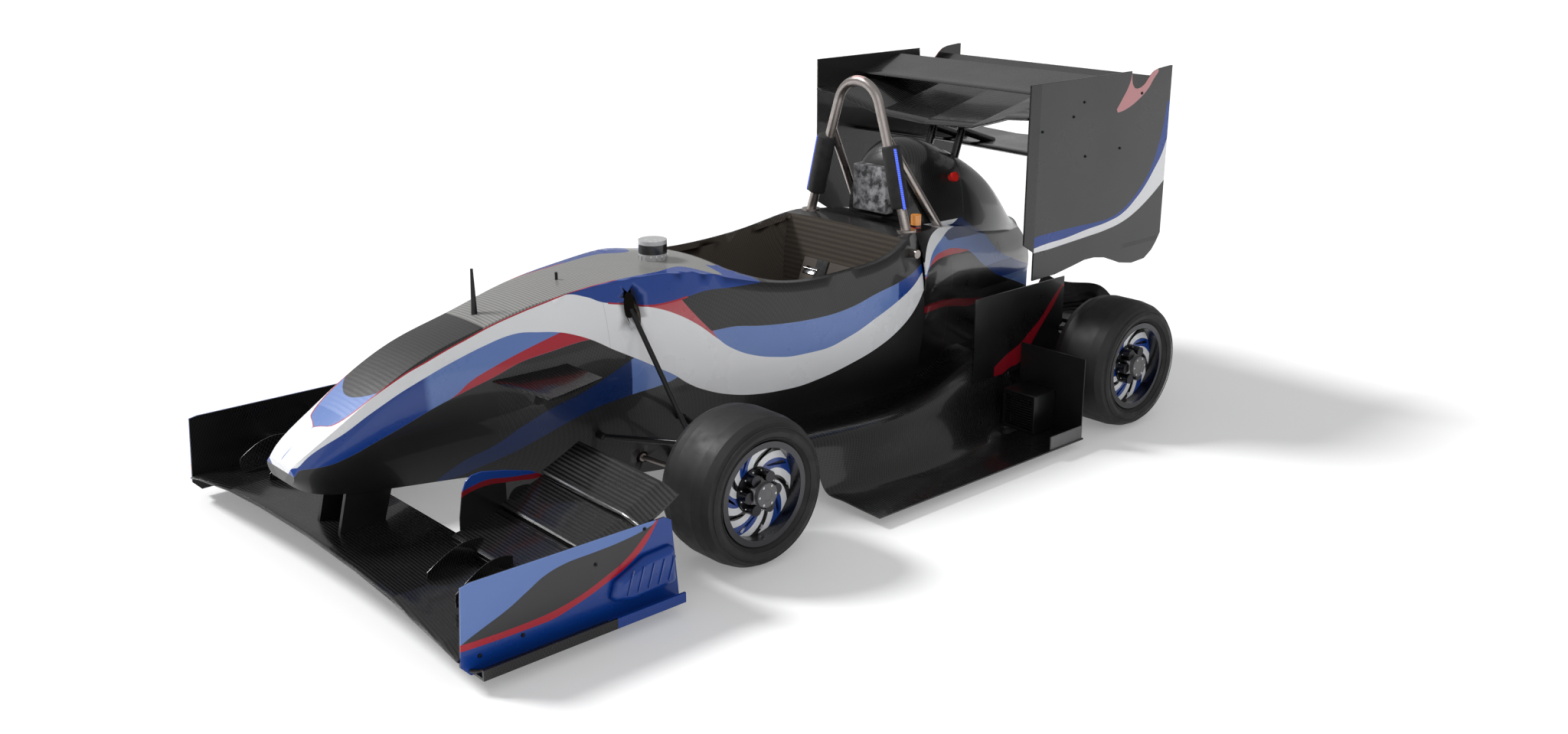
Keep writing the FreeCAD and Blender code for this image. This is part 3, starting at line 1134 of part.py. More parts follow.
def make_fittings(skin):
    """Range scanner, antennas, beacon, shutdown buttons, rear light and jacking bar."""
    spot = deck_point(skin, front_x - s.lidar_place * s.wheelbase, 0)
    feature("lidar", Part.makeCylinder(s.lidar_radius, s.lidar_height + s.overrun,
                                       spot - Vector(0, 0, s.overrun)).cut(skin))
    mast = deck_point(skin, front_x + s.antenna_ahead, 0)
    pin = deck_point(skin, front_x + s.antenna_ahead / 3, 0)
    rods = [Part.makeCone(s.antenna_radius * 2.2, s.antenna_radius * 0.9, s.antenna_height + s.overrun,
                          mast - Vector(0, 0, s.overrun)).cut(skin),
            Part.makeCylinder(s.antenna_radius, s.overrun * 2, pin - Vector(0, 0, s.overrun)).cut(skin)]
    feature("antennas", Part.makeCompound([largest(rod) for rod in rods]))
    cowl = sub_part("rear_cowl")
    deck = COWL_SHARES[0][4] * s.deck_height
    beacon = Part.makeCylinder(s.beacon_radius, s.beacon_height + s.overrun,
                               Vector(bulkhead_x - s.beacon_radius * 3, s.hoop_half_width - s.beacon_radius,
                                      deck - s.overrun))
    feature("beacon", largest(beacon.cut(cowl)))
    buttons = []
    for side in (1, -1):
        root = Vector(bulkhead_x - s.cowl_length * 0.36, side * s.fairing_half_width * 0.7, s.fairing_top * 0.85)
        out = Vector(0, side, s.button_depth / s.button_radius * 0.2)
        stem = Part.makeCylinder(s.button_radius * 0.7, s.button_depth * 2, root, out)
        head = Part.makeCylinder(s.button_radius, s.button_depth / 2, root + out.normalize() * s.button_depth * 2,
                                 out)
        buttons.append(largest(fused([stem, head]).cut(cowl)))
    feature("shutdown_buttons", Part.makeCompound(buttons))
    tail_x = bulkhead_x - s.cowl_length
    light = Part.makeCylinder(s.light_radius, s.light_depth, Vector(tail_x, 0, s.deck_height * 0.69),
                              Vector(-1, 0, 0))
    feature("rear_light", light)
    bar_x = tail_x - s.jack_bar_setback
    half = s.jack_bar_width / 2
    bar = [tube(Vector(bar_x, -half, s.jack_bar_height), Vector(bar_x, half, s.jack_bar_height),
                s.jack_bar_radius * 0.8)]
    for side in (1, -1):
        bar.append(tube(Vector(bar_x, side * (half - s.jack_grip), s.jack_bar_height),
                        Vector(bar_x, side * half, s.jack_bar_height), s.jack_bar_radius))
        bar.append(tube(Vector(bar_x, side * half / 3, s.jack_bar_height),
                        Vector(tail_x + s.overrun, side * half / 3, s.deck_height * 0.28),
                        s.jack_bar_radius * 0.7))
    feature("jacking_bar", largest(fused(bar).cut(sub_part("rear_tub"))))


skin = make_body()
trough, fairing = make_tail()
make_hoop()
make_seat()
make_steering()
make_front_suspension(skin)
make_rear_suspension(trough)
make_knuckles()
make_wheels()
make_front_wing()
make_winglets(skin)
make_rear_wing(fairing)
make_floor(skin, trough)
make_fittings(skin)
doc.recompute()

for item in doc.Objects:
    if "Invalid" in item.State or "Error" in item.State:
        raise RuntimeError(f"{item.Label} failed: {item.State}")
for item in sub_parts:
    shape = item.Shape
    if shape.isNull() or not shape.isValid() or not shape.Solids:
        raise RuntimeError(f"{item.Label} has no valid solid")
    shape.exportStep(f"parts/{item.Label}.step")
print(len(sub_parts), "sub-parts written")
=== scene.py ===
import math
from collections import namedtuple

import bpy
from bpy.props import FloatProperty, FloatVectorProperty, PointerProperty
from mathutils import Matrix, Vector


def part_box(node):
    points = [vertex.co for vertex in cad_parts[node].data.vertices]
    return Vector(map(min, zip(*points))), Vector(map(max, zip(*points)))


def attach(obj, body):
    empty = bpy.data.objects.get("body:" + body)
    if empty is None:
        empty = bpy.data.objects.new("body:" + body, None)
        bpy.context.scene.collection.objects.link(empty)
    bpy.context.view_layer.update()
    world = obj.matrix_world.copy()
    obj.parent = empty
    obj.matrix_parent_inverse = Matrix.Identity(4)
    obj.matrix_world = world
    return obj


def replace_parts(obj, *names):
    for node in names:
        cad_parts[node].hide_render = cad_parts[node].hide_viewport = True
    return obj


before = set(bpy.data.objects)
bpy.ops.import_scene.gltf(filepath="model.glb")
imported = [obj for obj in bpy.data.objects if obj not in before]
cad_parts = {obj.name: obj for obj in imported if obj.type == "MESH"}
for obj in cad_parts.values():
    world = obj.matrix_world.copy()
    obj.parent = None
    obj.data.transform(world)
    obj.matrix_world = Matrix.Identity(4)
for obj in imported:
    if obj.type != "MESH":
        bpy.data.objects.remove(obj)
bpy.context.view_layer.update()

bl_info = {
    "name": "Open wheel racing car",
    "version": (1, 0, 0),
    "blender": (4, 5, 0),
    "location": "View3D > Sidebar > Racing Car",
    "description": "Dresses the racing car's solids with paint, woven carbon, rubber and small pieces",
    "category": "Object",
}

WHEELS = (("front_left", 1), ("front_right", -1), ("rear_left", 1), ("rear_right", -1))
SIDES = (("left", 1), ("right", -1))

# How a web code's values become light: a straight foot, then a power.
CODE_SCALE = 255
CODE_FOOT = 0.04045
FOOT_SLOPE = 12.92
CODE_OFFSET = 0.055
CODE_POWER = 2.4


def shade(code):
    """A colour from its web code, as the shader's own values."""
    parts = [int(code[i:i + 2], 16) / CODE_SCALE for i in (0, 2, 4)]
    return tuple(((part + CODE_OFFSET) / (1 + CODE_OFFSET)) ** CODE_POWER if part > CODE_FOOT
                 else part / FOOT_SLOPE for part in parts)


def paint_colour(name, code, text):
    """A colour that the panel shows."""
    return FloatVectorProperty(name=name, description=text, subtype="COLOR", size=3, min=0, max=1,
                               default=shade(code))


def length(name, default, text):
    """A length that the panel shows."""
    return FloatProperty(name=name, description=text, default=default, min=0, subtype="DISTANCE",
                         unit="LENGTH")


class CarColours(bpy.types.PropertyGroup):
    """Colours of the livery and of the bare materials."""

    white: paint_colour("White", "F1F2F5", "Bands along the nose and the swoosh on the tub")
    slate: paint_colour("Slate blue", "6483C4", "Pale blue fields")
    royal: paint_colour("Royal blue", "0D3E93", "Deep blue bands")
    navy: paint_colour("Navy", "112B60", "Wedge low on the nose")
    red: paint_colour("Red", "B3122A", "Pinstripes and stripes")
    faded_red: paint_colour("Faded red", "C2555C", "Triangle behind the push rod")
    dark_red: paint_colour("Dark red", "7C0D1B", "Swooshes on the boards")
    black: paint_colour("Satin black", "101011", "Chin of the nose and the wings")
    # The two weave colours are painted light: a painted shade for tows across the light, a painted sheen for
    # tows that catch it.
    weave_painted_shade: paint_colour("Dark weave", "090909", "Tows that lie across the light")
    weave_painted_sheen: paint_colour("Light weave", "252424", "Tows that catch the light")
    # The deck's silver weave is painted the same way, with a painted shade and a painted sheen.
    silver_painted_shade: paint_colour("Silver weave, dark", "777775", "Deck before the cockpit")
    silver_painted_sheen: paint_colour("Silver weave, light", "A3A29F", "Deck before the cockpit")
    cockpit: paint_colour("Cockpit weave", "655D55", "Inside of the tub")
    leaf: paint_colour("Plate grey", "2E2E30", "Fields of the endplates")
    pale_red: paint_colour("Pale red", "C98A8D", "Mark at the rear endplates' notch")
    silver: paint_colour("Silver grey", "A9A9AB", "Tail of the cowl")
    led: paint_colour("Blue light", "1E4BFF", "Light strips along the hoop's sleeves")


class CarSizes(bpy.types.PropertyGroup):
    """Sizes of what is added to the solids."""

    tow: length("Tow", 0.0042, "Width of one tow of the carbon weave")
    pinstripe: length("Pinstripe", 0.0045, "Width of the red line beside the centre panel")
    rear_plate: length("Rear plate", 0.0058, "Thickness of a rear endplate")
    fence: length("Board", 0.0038, "Thickness of the front wing's inner boards")
    vane: length("Vane", 0.0030, "Thickness of a turning vane")
    gutter: length("Gutter", 0.0045, "Radius of the roll along a front endplate's foot")
    strip: length("Light strip", 0.0045, "Radius of a light strip on the hoop")
    grip: length("Grip", 0.0155, "Radius of the steering wheel's grips")


# Shader values

STEP = 0.0007  # softness of a painted edge
MIX_FACTOR = 0
MIX_UNDER = 6
MIX_OVER = 7
MIX_RESULT = 2


class Value:
    """One value of a shader, which sums can use. A mask is one where it holds: & | ~ join and turn masks."""

    def __init__(self, graph, socket):
        self.graph = graph
        self.socket = socket

    def __add__(self, other):
        return self.graph.math("ADD", self, other)

    def __sub__(self, other):
        return self.graph.math("SUBTRACT", self, other)

    def __mul__(self, other):
        return self.graph.math("MULTIPLY", self, other)

    def __truediv__(self, other):
        return self.graph.math("DIVIDE", self, other)

    def __pow__(self, other):
        return self.graph.math("POWER", self, other)

    def __mod__(self, other):
        return self.graph.math("MODULO", self, other)

    def __abs__(self):
        return self.graph.math("ABSOLUTE", self)

    def __and__(self, other):
        return self * other

    def __or__(self, other):
        return self.graph.math("MAXIMUM", self, other)

    def __invert__(self):
        return self.graph.math("SUBTRACT", 1.0, self)

    def fraction(self):
        """What is left of a value without its whole number."""
        return self.graph.math("FRACT", self)

    def past(self, edge, soft=STEP):
        """A mask that holds where the value is over an edge."""
        return self.graph.math("ADD", (self - edge) / soft, 0.5, clamp=True)


class Graph:
    """Writes a shader's nodes in short lines."""

    def __init__(self, tree):
        self.tree = tree

    def plug(self, socket, value):
        """Links a socket, or sets it."""
        if isinstance(value, Value):
            self.tree.links.new(value.socket, socket)
        elif socket.type == "RGBA" and len(value) == 3:
            socket.default_value = (*value, 1)
        else:
            socket.default_value = value

    def fill(self, sockets, values):
        """Links or sets several sockets."""
        for key, value in values.items():
            self.plug(sockets[key], value)

    def node(self, kind, sockets=None, **settings):
        """A node with its settings and what goes into its sockets."""
        made = self.tree.nodes.new("ShaderNode" + kind)
        for name, value in settings.items():
            setattr(made, name, value)
        self.fill(made.inputs, sockets or {})
        return made

    def value(self, kind, sockets=None, out=0, **settings):
        """What comes out of a new node."""
        return Value(self, self.node(kind, sockets, **settings).outputs[out])

    def math(self, operation, *values, clamp=False):
        """One Math node's result."""
        return self.value("Math", dict(enumerate(values)), operation=operation, use_clamp=clamp)

    def layer(self, mask, under, over):
        """Puts one colour over another where the mask holds."""
        return self.value("Mix", {MIX_FACTOR: mask, MIX_UNDER: under, MIX_OVER: over}, MIX_RESULT,
                          data_type="RGBA")

    def layers(self, colour, *rows):
        """Puts several colours over a first one in turn; each row is a mask and a colour."""
        for mask, over in rows:
            colour = self.layer(mask, colour, over)
        return colour

    def group(self, name, **sockets):
        """The results of a node group, by name."""
        made = self.node("Group", sockets, node_tree=bpy.data.node_groups[name])
        return {socket.name: Value(self, socket) for socket in made.outputs}

    def spot(self):
        """The object's own coordinates."""
        return self.value("TexCoord", out="Object")

    def place(self):
        """The object's own coordinates, apart."""
        return [Value(self, part) for part in self.node("SeparateXYZ", {0: self.spot()}).outputs]

    def noise(self, scale, detail, roughness=0.5):
        """Clouds."""
        return self.value("TexNoise", {"Vector": self.spot(), "Scale": scale, "Detail": detail,
                                       "Roughness": roughness})

    def stretch(self, value, low, high):
        """A value from zero at one level to one at another."""
        return self.value("MapRange", {"Value": value, "From Min": low, "From Max": high})

    def line(self, along, points, start, span):
        """A line's height at each place along the car."""
        made = self.node("FloatCurve", {"Value": (along - start) / span})
        curve = made.mapping.curves[0]
        spots = sorted(((x - start) / span, height) for x, height in points)
        while len(curve.points) < len(spots):
            curve.points.new(0.5, 0.5)
        for point, (x, height) in zip(curve.points, spots):
            point.location = (x, height)
            point.handle_type = "AUTO_CLAMPED"
        made.mapping.extend = "HORIZONTAL"
        made.mapping.update()
        return Value(self, made.outputs[0])

    def below(self, along, height, lines, start, span):
        """For each named line, a mask that holds where a height lies below it."""
        return {name: ~height.past(self.line(along, points, start, span)) for name, points in lines.items()}

    def bump(self, height, distance, strength=1.0):
        """A bump from a height."""
        return self.value("Bump", {"Height": height, "Distance": distance, "Strength": strength})

    def wear(self, scale, smooth, rough):
        """The wear group's results."""
        return self.group("Surface wear", Scale=scale, Smooth=smooth, Rough=rough)


def new_group(name, given, results):
    """A shader group. What goes in has a default, a number or a colour; a Color comes out as a colour."""
    tree = bpy.data.node_groups.new(name, "ShaderNodeTree")
    rows = [(key, "INPUT", isinstance(default, tuple)) for key, default in given.items()]
    rows += [(key, "OUTPUT", key == "Color") for key in results]
    for key, way, coloured in rows:
        made = tree.interface.new_socket(key, in_out=way,
                                         socket_type="NodeSocketColor" if coloured else "NodeSocketFloat")
        if way == "INPUT":
            made.default_value = (*given[key], 1) if coloured else given[key]
    graph = Graph(tree)
    start = tree.nodes.new("NodeGroupInput").outputs
    return graph, {key: Value(graph, start[key]) for key in given}, tree.nodes.new("NodeGroupOutput").inputs


DARK_GREY = (0.01, 0.01, 0.01)
PALE_GREY = (0.3, 0.3, 0.3)
TWILL_TURN = 4.0  # tows after which the pattern comes again
TWILL_OVER = 1.5  # between the tows that a warp passes over and those that it passes under
# Painted sheen on the warp tows' crowns: how much it varies, and its least strength.
PAINTED_SHEEN_SPREAD = 0.5
PAINTED_SHEEN_LEAST = 0.75
WARP_ROUGHER = 0.10
WEFT_ROUGHNESS = 0.28
WEAVE_DEPTH = 0.00015
WEAVE_STRENGTH = 0.6


def twill_group():
    """Two by two twill: tows cross, each passing over two and under two; the warp's crowns get a painted
    sheen.
    """
    graph, given, result = new_group("Twill weave", {"Tow": 0.0022, "Dark": DARK_GREY, "Light": PALE_GREY},
                                     ("Color", "Height", "Roughness"))
    x, y, z = graph.place()
    tows = ((x + y) / given["Tow"], (z + x - y) / given["Tow"])
    across, along = [graph.math("FLOOR", tow) for tow in tows]
    order = ((across + along) % TWILL_TURN + TWILL_TURN) % TWILL_TURN
    warp = graph.math("LESS_THAN", order, TWILL_OVER)
    rounds = []
    for tow in tows:
        inside = tow.fraction() - 0.5
        rounds.append(~(inside * inside * 4.0))
    crown = rounds[0] * warp + rounds[1] * ~warp
    lift = warp * (graph.noise(scale=60.0, detail=3.0) * PAINTED_SHEEN_SPREAD + PAINTED_SHEEN_LEAST)
    painted_sheen = graph.math("MULTIPLY", lift, crown, clamp=True)
    graph.fill(result, {"Color": graph.layer(painted_sheen, given["Dark"], given["Light"]), "Height": crown,
                        "Roughness": warp * WARP_ROUGHER + WEFT_ROUGHNESS})


def wear_group():
    """Roughness that changes over a surface as handling leaves it, with a fine unevenness."""
    graph, given, result = new_group("Surface wear", {"Scale": 12.0, "Smooth": 0.2, "Rough": 0.4},
                                     ("Roughness", "Height", "Mask"))
    mask = graph.stretch(graph.noise(scale=given["Scale"], detail=6.0, roughness=0.6), low=0.35, high=0.68)
    graph.fill(result, {"Roughness": mask * (given["Rough"] - given["Smooth"]) + given["Smooth"],
                        "Height": graph.noise(scale=given["Scale"] * 35.0, detail=2.0), "Mask": mask})


def grain_group():
    """Fine grain of rubber and of foam."""
    graph, given, result = new_group("Fine grain", {"Scale": 900.0}, ("Height", "Shade"))
    cells = graph.value("TexVoronoi", {"Vector": graph.spot(), "Scale": given["Scale"]}, "Distance")
    graph.fill(result, {"Height": cells, "Shade": graph.noise(scale=14.0, detail=8.0)})


# Places

# How high the nose and tub reach along the car, and where the livery's lines lie on their left side. A girth
# is measured from the crown outwards and down, a height from the ground.
CROWN = ((1.4625, 0.337), (1.4176, 0.374), (1.3512, 0.4147), (1.2517, 0.4743), (1.0955, 0.5476),
         (0.9413, 0.5897), (0.8008, 0.6234), (0.6524, 0.6428), (0.5314, 0.648), (0.3499, 0.6467),
         (0.2035, 0.6383), (0.0473, 0.6156), (-0.1498, 0.6091), (-0.2982, 0.6156), (-0.4173, 0.635),
         (-0.4895, 0.6383))
GIRTHS = {
    "centre": ((1.46, 0.0), (1.375, 0.0), (1.35, 0.053), (1.303, 0.078), (1.2415, 0.086), (1.163, 0.096),
        (1.082, 0.104), (0.9976, 0.103), (0.9418, 0.101), (0.829, 0.11), (0.7465, 0.118), (0.684, 0.12),
        (0.609, 0.122), (0.5214, 0.126), (0.4274, 0.133), (0.3416, 0.115), (0.2465, 0.125), (0.232, 0.147),
        (0.2536, 0.23)),
    "collar": ((1.46, 0.0), (0.76, 0.116), (0.717, 0.119), (0.6566, 0.155), (0.6119, 0.194), (0.54, 0.228),
        (0.481, 0.253), (0.4113, 0.263), (0.3251, 0.265), (0.244, 0.286), (0.1699, 0.3), (-0.1, 0.33)),
    "shoulder": ((1.46, 0.06), (1.4476, 0.079), (1.4291, 0.082), (1.3788, 0.097), (1.3269, 0.113),
        (1.2732, 0.122), (1.2021, 0.132), (1.1302, 0.142), (1.0559, 0.146), (0.9635, 0.147),
        (0.8734, 0.16), (0.7963, 0.198), (0.7433, 0.229), (0.7131, 0.251), (0.6679, 0.288),
        (0.6136, 0.339)),
}
HEIGHTS = {
    "chin": ((1.4625, 0.317), (1.452, 0.33), (1.4465, 0.334), (1.388, 0.333), (1.3367, 0.341),
        (1.2602, 0.364), (1.1816, 0.3886), (1.1012, 0.416), (1.0196, 0.4388), (0.9376, 0.4606),
        (0.8555, 0.4879), (0.7749, 0.5014), (0.6927, 0.5136), (0.6679, 0.515), (0.6, 0.53), (0.5, 0.6)),
    "stripe": ((1.12, 0.408), (1.0439, 0.4347), (1.0009, 0.4614), (0.9339, 0.4863), (0.8511, 0.5134),
        (0.7682, 0.5378), (0.7437, 0.545), (0.66, 0.59)),
    "wedge_top": ((1.1, 0.205), (1.0763, 0.2225), (1.0223, 0.2499), (0.9438, 0.2736), (0.867, 0.3148),
        (0.7884, 0.3509), (0.7067, 0.3762), (0.6204, 0.4126), (0.5432, 0.4466), (0.43, 0.49)),
    "wedge_low": ((1.1, 0.205), (1.0499, 0.2044), (0.9709, 0.2208), (0.8937, 0.2406), (0.8176, 0.2708),
        (0.7392, 0.3037), (0.6566, 0.3292), (0.5695, 0.3425), (0.4305, 0.3582), (0.4, 0.37)),
    "swoosh": ((0.7, 0.535), (0.6679, 0.515), (0.6136, 0.4828), (0.5305, 0.4362), (0.4681, 0.3995),
        (0.4255, 0.3744), (0.3772, 0.3388), (0.3286, 0.3115), (0.2326, 0.2768), (0.1369, 0.2613),
        (0.0384, 0.2586), (-0.0653, 0.2688), (-0.174, 0.2909), (-0.2867, 0.3239), (-0.3817, 0.3698),
        (-0.4501, 0.42), (-0.4895, 0.462)),
    "field_top": ((0.3023, 0.479), (0.247, 0.4822), (0.1606, 0.4736), (0.0681, 0.4681), (-0.035, 0.4658),
        (-0.1475, 0.4731), (-0.2641, 0.499), (-0.3576, 0.5121), (-0.4584, 0.5309), (-0.4895, 0.54)),
    "field_low": ((0.303, 0.474), (0.2854, 0.4513), (0.2455, 0.4196), (0.1819, 0.3896), (0.1067, 0.3709),
        (0.0376, 0.363), (-0.0465, 0.363), (-0.1563, 0.3838), (-0.27, 0.4255), (-0.3588, 0.4579),
        (-0.4352, 0.4869), (-0.4895, 0.516)),
    "flame": ((0.5, 0.575), (0.465, 0.5655), (0.4153, 0.5447), (0.353, 0.5071), (0.2854, 0.4513),
        (0.27, 0.44)),
    "bare_edge": ((0.4, 0.6), (0.3818, 0.5692), (0.3, 0.47), (0.2854, 0.4538), (0.27, 0.43)),
}
# Lines of the plates, boards and cowl: place along the car, then height.
FRONT_PLATE = {
    "leaf": ((1.4175, 0.11), (1.4044, 0.1167), (1.3562, 0.1349), (1.2922, 0.1581), (1.2397, 0.1841),
        (1.1953, 0.2054), (1.1286, 0.2181), (1.0609, 0.2191), (0.9914, 0.2221), (0.9199, 0.2313),
        (0.82, 0.26)),
    "stripe": ((1.4175, 0.113), (1.3702, 0.1102), (1.287, 0.1083), (1.2007, 0.1104), (1.111, 0.1246),
        (1.0412, 0.1469), (0.9696, 0.1779), (0.9155, 0.2195), (0.8881, 0.2426), (0.87, 0.26)),
    "foot": ((1.4175, 0.097), (1.3713, 0.0948), (1.288, 0.0926), (1.2018, 0.0924), (1.1118, 0.1084),
        (1.0373, 0.1311), (0.9704, 0.1573), (0.9213, 0.192), (0.8848, 0.2375), (0.87, 0.26)),
}
REAR_PLATE = {
    "blue": ((-0.7375, 0.6), (-0.8115, 0.609), (-0.8882, 0.6104), (-0.9884, 0.6108), (-1.0916, 0.6089),
        (-1.1666, 0.6116), (-1.2262, 0.6261), (-1.2776, 0.6515), (-1.3209, 0.6831), (-1.3565, 0.7159),
        (-1.3903, 0.7632), (-1.4121, 0.8121), (-1.4269, 0.8524), (-1.4397, 0.9067), (-1.4479, 0.966)),
    "white": ((-0.7375, 0.565), (-0.7868, 0.5728), (-0.8488, 0.5785), (-0.9406, 0.5819), (-1.0487, 0.5924),
        (-1.1676, 0.6021), (-1.2425, 0.6191), (-1.3084, 0.6566), (-1.3589, 0.6968), (-1.4009, 0.7431),
        (-1.4357, 0.7859), (-1.4625, 0.84)),
    "foot": ((-0.7375, 0.552), (-0.7914, 0.5587), (-0.8575, 0.5591), (-0.9423, 0.5634), (-1.0511, 0.5691),
        (-1.1553, 0.576), (-1.2458, 0.5904), (-1.3136, 0.6134), (-1.3661, 0.6391), (-1.4185, 0.6698),
        (-1.4625, 0.7)),
    "mark_low": ((-1.1706, 0.9613), (-1.1778, 0.9508), (-1.2186, 0.9565), (-1.2844, 0.9815),
        (-1.3348, 1.0129), (-1.3624, 1.0421), (-1.3835, 1.0606)),
    "mark_top": ((-1.1706, 0.9613), (-1.1992, 0.9941), (-1.2255, 1.0273), (-1.2376, 1.0528),
        (-1.2411, 1.0747), (-1.245, 1.2)),
}
COWL = {
    "arc_top": ((-0.4895, 0.545), (-0.5096, 0.5758), (-0.5431, 0.602), (-0.585, 0.6167), (-0.655, 0.622),
        (-0.76, 0.622), (-1.21, 0.622)),
    "arc_low": ((-0.4895, 0.508), (-0.5124, 0.5355), (-0.5288, 0.5558), (-0.5626, 0.5757),
        (-0.6152, 0.5917), (-0.6791, 0.6053), (-0.7456, 0.6075), (-0.8, 0.64)),
    "navy": ((-0.6337, 0.6), (-0.6437, 0.5946), (-0.6547, 0.5814), (-0.7092, 0.5748), (-0.791, 0.5651),
        (-0.8936, 0.5531), (-0.9237, 0.5455)),
    "tail": ((-0.74, 0.66), (-0.7869, 0.622), (-0.8199, 0.6022), (-0.8553, 0.5818), (-0.9, 0.56),
        (-0.9237, 0.5455), (-0.9453, 0.5122), (-0.9925, 0.4743), (-1.0525, 0.4473), (-1.1402, 0.4131),
        (-1.2115, 0.39)),
    "red_top": ((-0.4895, 0.5), (-0.5223, 0.537), (-0.5548, 0.5541), (-0.6, 0.5585), (-0.6459, 0.5576),
        (-0.6908, 0.5501), (-0.7269, 0.5399), (-0.7773, 0.5218), (-0.79, 0.49)),
    "paint": ((-0.4895, 0.495), (-0.5068, 0.523), (-0.5418, 0.5365), (-0.5924, 0.5415), (-0.6446, 0.5392),
        (-0.706, 0.5315), (-0.7773, 0.5218), (-0.8108, 0.5008), (-0.8459, 0.4735), (-0.8847, 0.4504),
        (-0.9438, 0.4166), (-1.0244, 0.3829), (-1.1084, 0.3518), (-1.2115, 0.31)),
    "royal_top": ((-0.86, 0.452), (-0.8847, 0.452), (-1.05, 0.445), (-1.2115, 0.4)),
    "royal_low": ((-0.86, 0.46), (-0.9, 0.43), (-0.96, 0.4), (-1.02, 0.39), (-1.1, 0.385),
        (-1.2115, 0.375)),
    "band_top": ((-0.4895, 0.397), (-0.5349, 0.4045), (-0.5951, 0.4015), (-0.6571, 0.3919),
        (-0.7214, 0.378), (-0.8, 0.36), (-0.95, 0.33)),
    "band_low": ((-0.4895, 0.379), (-0.5486, 0.3788), (-0.6324, 0.3735), (-0.7101, 0.3563), (-0.8, 0.335),
        (-0.95, 0.33)),
}
SIDE_BOARD = {
    "top": ((-0.6512, 0.2145), (-0.7087, 0.2431), (-0.7728, 0.2664), (-0.8204, 0.2972), (-0.8685, 0.3283),
        (-0.9105, 0.3682), (-0.9422, 0.3993), (-0.9744, 0.4249)),
    "low": ((-0.6512, 0.16), (-0.7283, 0.1976), (-0.7666, 0.2011), (-0.7982, 0.224), (-0.8294, 0.2546),
        (-0.8604, 0.2891), (-0.897, 0.3264), (-0.9286, 0.3574), (-0.9545, 0.3897), (-0.9753, 0.4155)),
}
FENCE = {
    "red": ((1.165, 0.262), (1.1256, 0.2715), (1.0839, 0.2768), (1.0216, 0.2669), (0.95, 0.257)),
    "black": ((1.165, 0.246), (1.135, 0.2564), (1.0849, 0.2626), (1.0224, 0.2549), (0.95, 0.2431)),
    "silver": ((1.165, 0.0), (1.06, 0.0), (1.03, 0.2), (0.99, 0.236), (0.95, 0.225), (0.9, 0.16)),
}
# Outlines of what replaces the flat plates: place along the car, then height.
REAR_OUTLINE = ((-0.7375, 1.074), (-1.2411, 1.0747), (-1.243, 1.05), (-1.249, 1.032), (-1.261, 1.0195),
                (-1.2803, 1.0156), (-1.3, 1.019), (-1.3176, 1.028), (-1.3454, 1.0526), (-1.365, 1.065),
                (-1.3906, 1.0715), (-1.4492, 1.076), (-1.4625, 1.076), (-1.4625, 0.52), (-1.443, 0.492),
                (-1.42, 0.467), (-1.38, 0.444), (-1.3084, 0.44), (-1.2425, 0.452), (-1.2, 0.468),
                (-1.1553, 0.484), (-1.1, 0.493), (-1.0487, 0.4935), (-0.98, 0.483), (-0.9, 0.472),
                (-0.787, 0.47), (-0.787, 0.56), (-0.7375, 0.59))
FENCE_OUTLINE = ((1.1648, 0.115), (1.162, 0.2), (1.152, 0.262), (1.14, 0.288), (1.123, 0.2995),
                 (1.095, 0.3015), (1.03, 0.288), (0.955, 0.266), (0.925, 0.248), (0.908, 0.225),
                 (0.885, 0.183), (0.88, 0.171))

# Where each set of lines starts along the car, and the length that it covers.
TUB_SPAN = (-0.6, 2.1)
FRONT_SPAN = (0.8, 0.65)
REAR_SPAN = (-1.5, 0.8)
BOARD_SPAN = (-1.0, 0.45)
COWL_SPAN = (-1.25, 0.8)
FENCE_SPAN = (0.87, 0.3)

# Where parts of the tub's livery end along the car.
ENDS = {
    "seam": 0.6136, "satin": 0.93, "royal": 1.115, "stripe": 1.06, "wedge_front": 1.09, "wedge_rear": 0.41,
    "navy": 0.556, "flame_front": 0.486, "flame_rear": 0.27, "field": 0.3023, "slate": -0.355,
    "bare": 0.40, "all_bare": 0.275, "collar_front": 0.76, "collar_rear": 0.165, "centre": 0.212,
    "weave": 0.9418, "pinstripe_front": 1.37, "pinstripe_rear": 0.55, "lower_front": 0.60,
    "lower_rear": 0.37, "crown": 1.32,
}
END_STEP = 0.0015
BLENDED_ENDS = {"royal": 0.02, "slate": 0.004}
# The centre panel's front edge, and how it bows.
PANEL_BOW = 5.6
PANEL_FRONT = 1.276

# Ends of the other liveries: along the car, from its middle or from the ground.
POD_SKIN = 0.7115
GUTTER_SKIN = 0.7095
GUTTER_TOP = 0.068
GUTTER_REAR = 1.034
MARK_REAR = -1.3835
MARK_FRONT = -1.1706
# A dark slot low on the rear endplates: a painted shadow of a groove that is not modelled.
SLOT_HEIGHT = 0.506
SLOT_HALF = 0.0075
SLOT_REAR = -1.446
SLOT_FRONT = -1.252
SLOT_FADE = 0.03
PAINTED_GROOVE_SHADOW = (0.004, 0.004, 0.004)
BARE_CORNER = -0.787
SWOOSH_FRONT = -0.6512
NOWHERE = 9.0  # ahead of the car
COWL_WEAVE = -0.652
TAIL_FRONT = -0.80
NAVY_FRONT = -0.634
COWL_RED_REAR = -0.7773
COWL_ROYAL_FRONT = -0.885
# Where the cowl's silver tail fades to black along the fairing: a painted reflection of its flank catching
# the light.
FAIRING_FOOT = 0.62
FAIRING_LEAN = -0.20
FAIRING_PAINTED_REFLECTION = (-1.02, -0.84)
CORNER_FRONT = 1.03
CORNER_SHADE = (0.09, 0.09, 0.092)

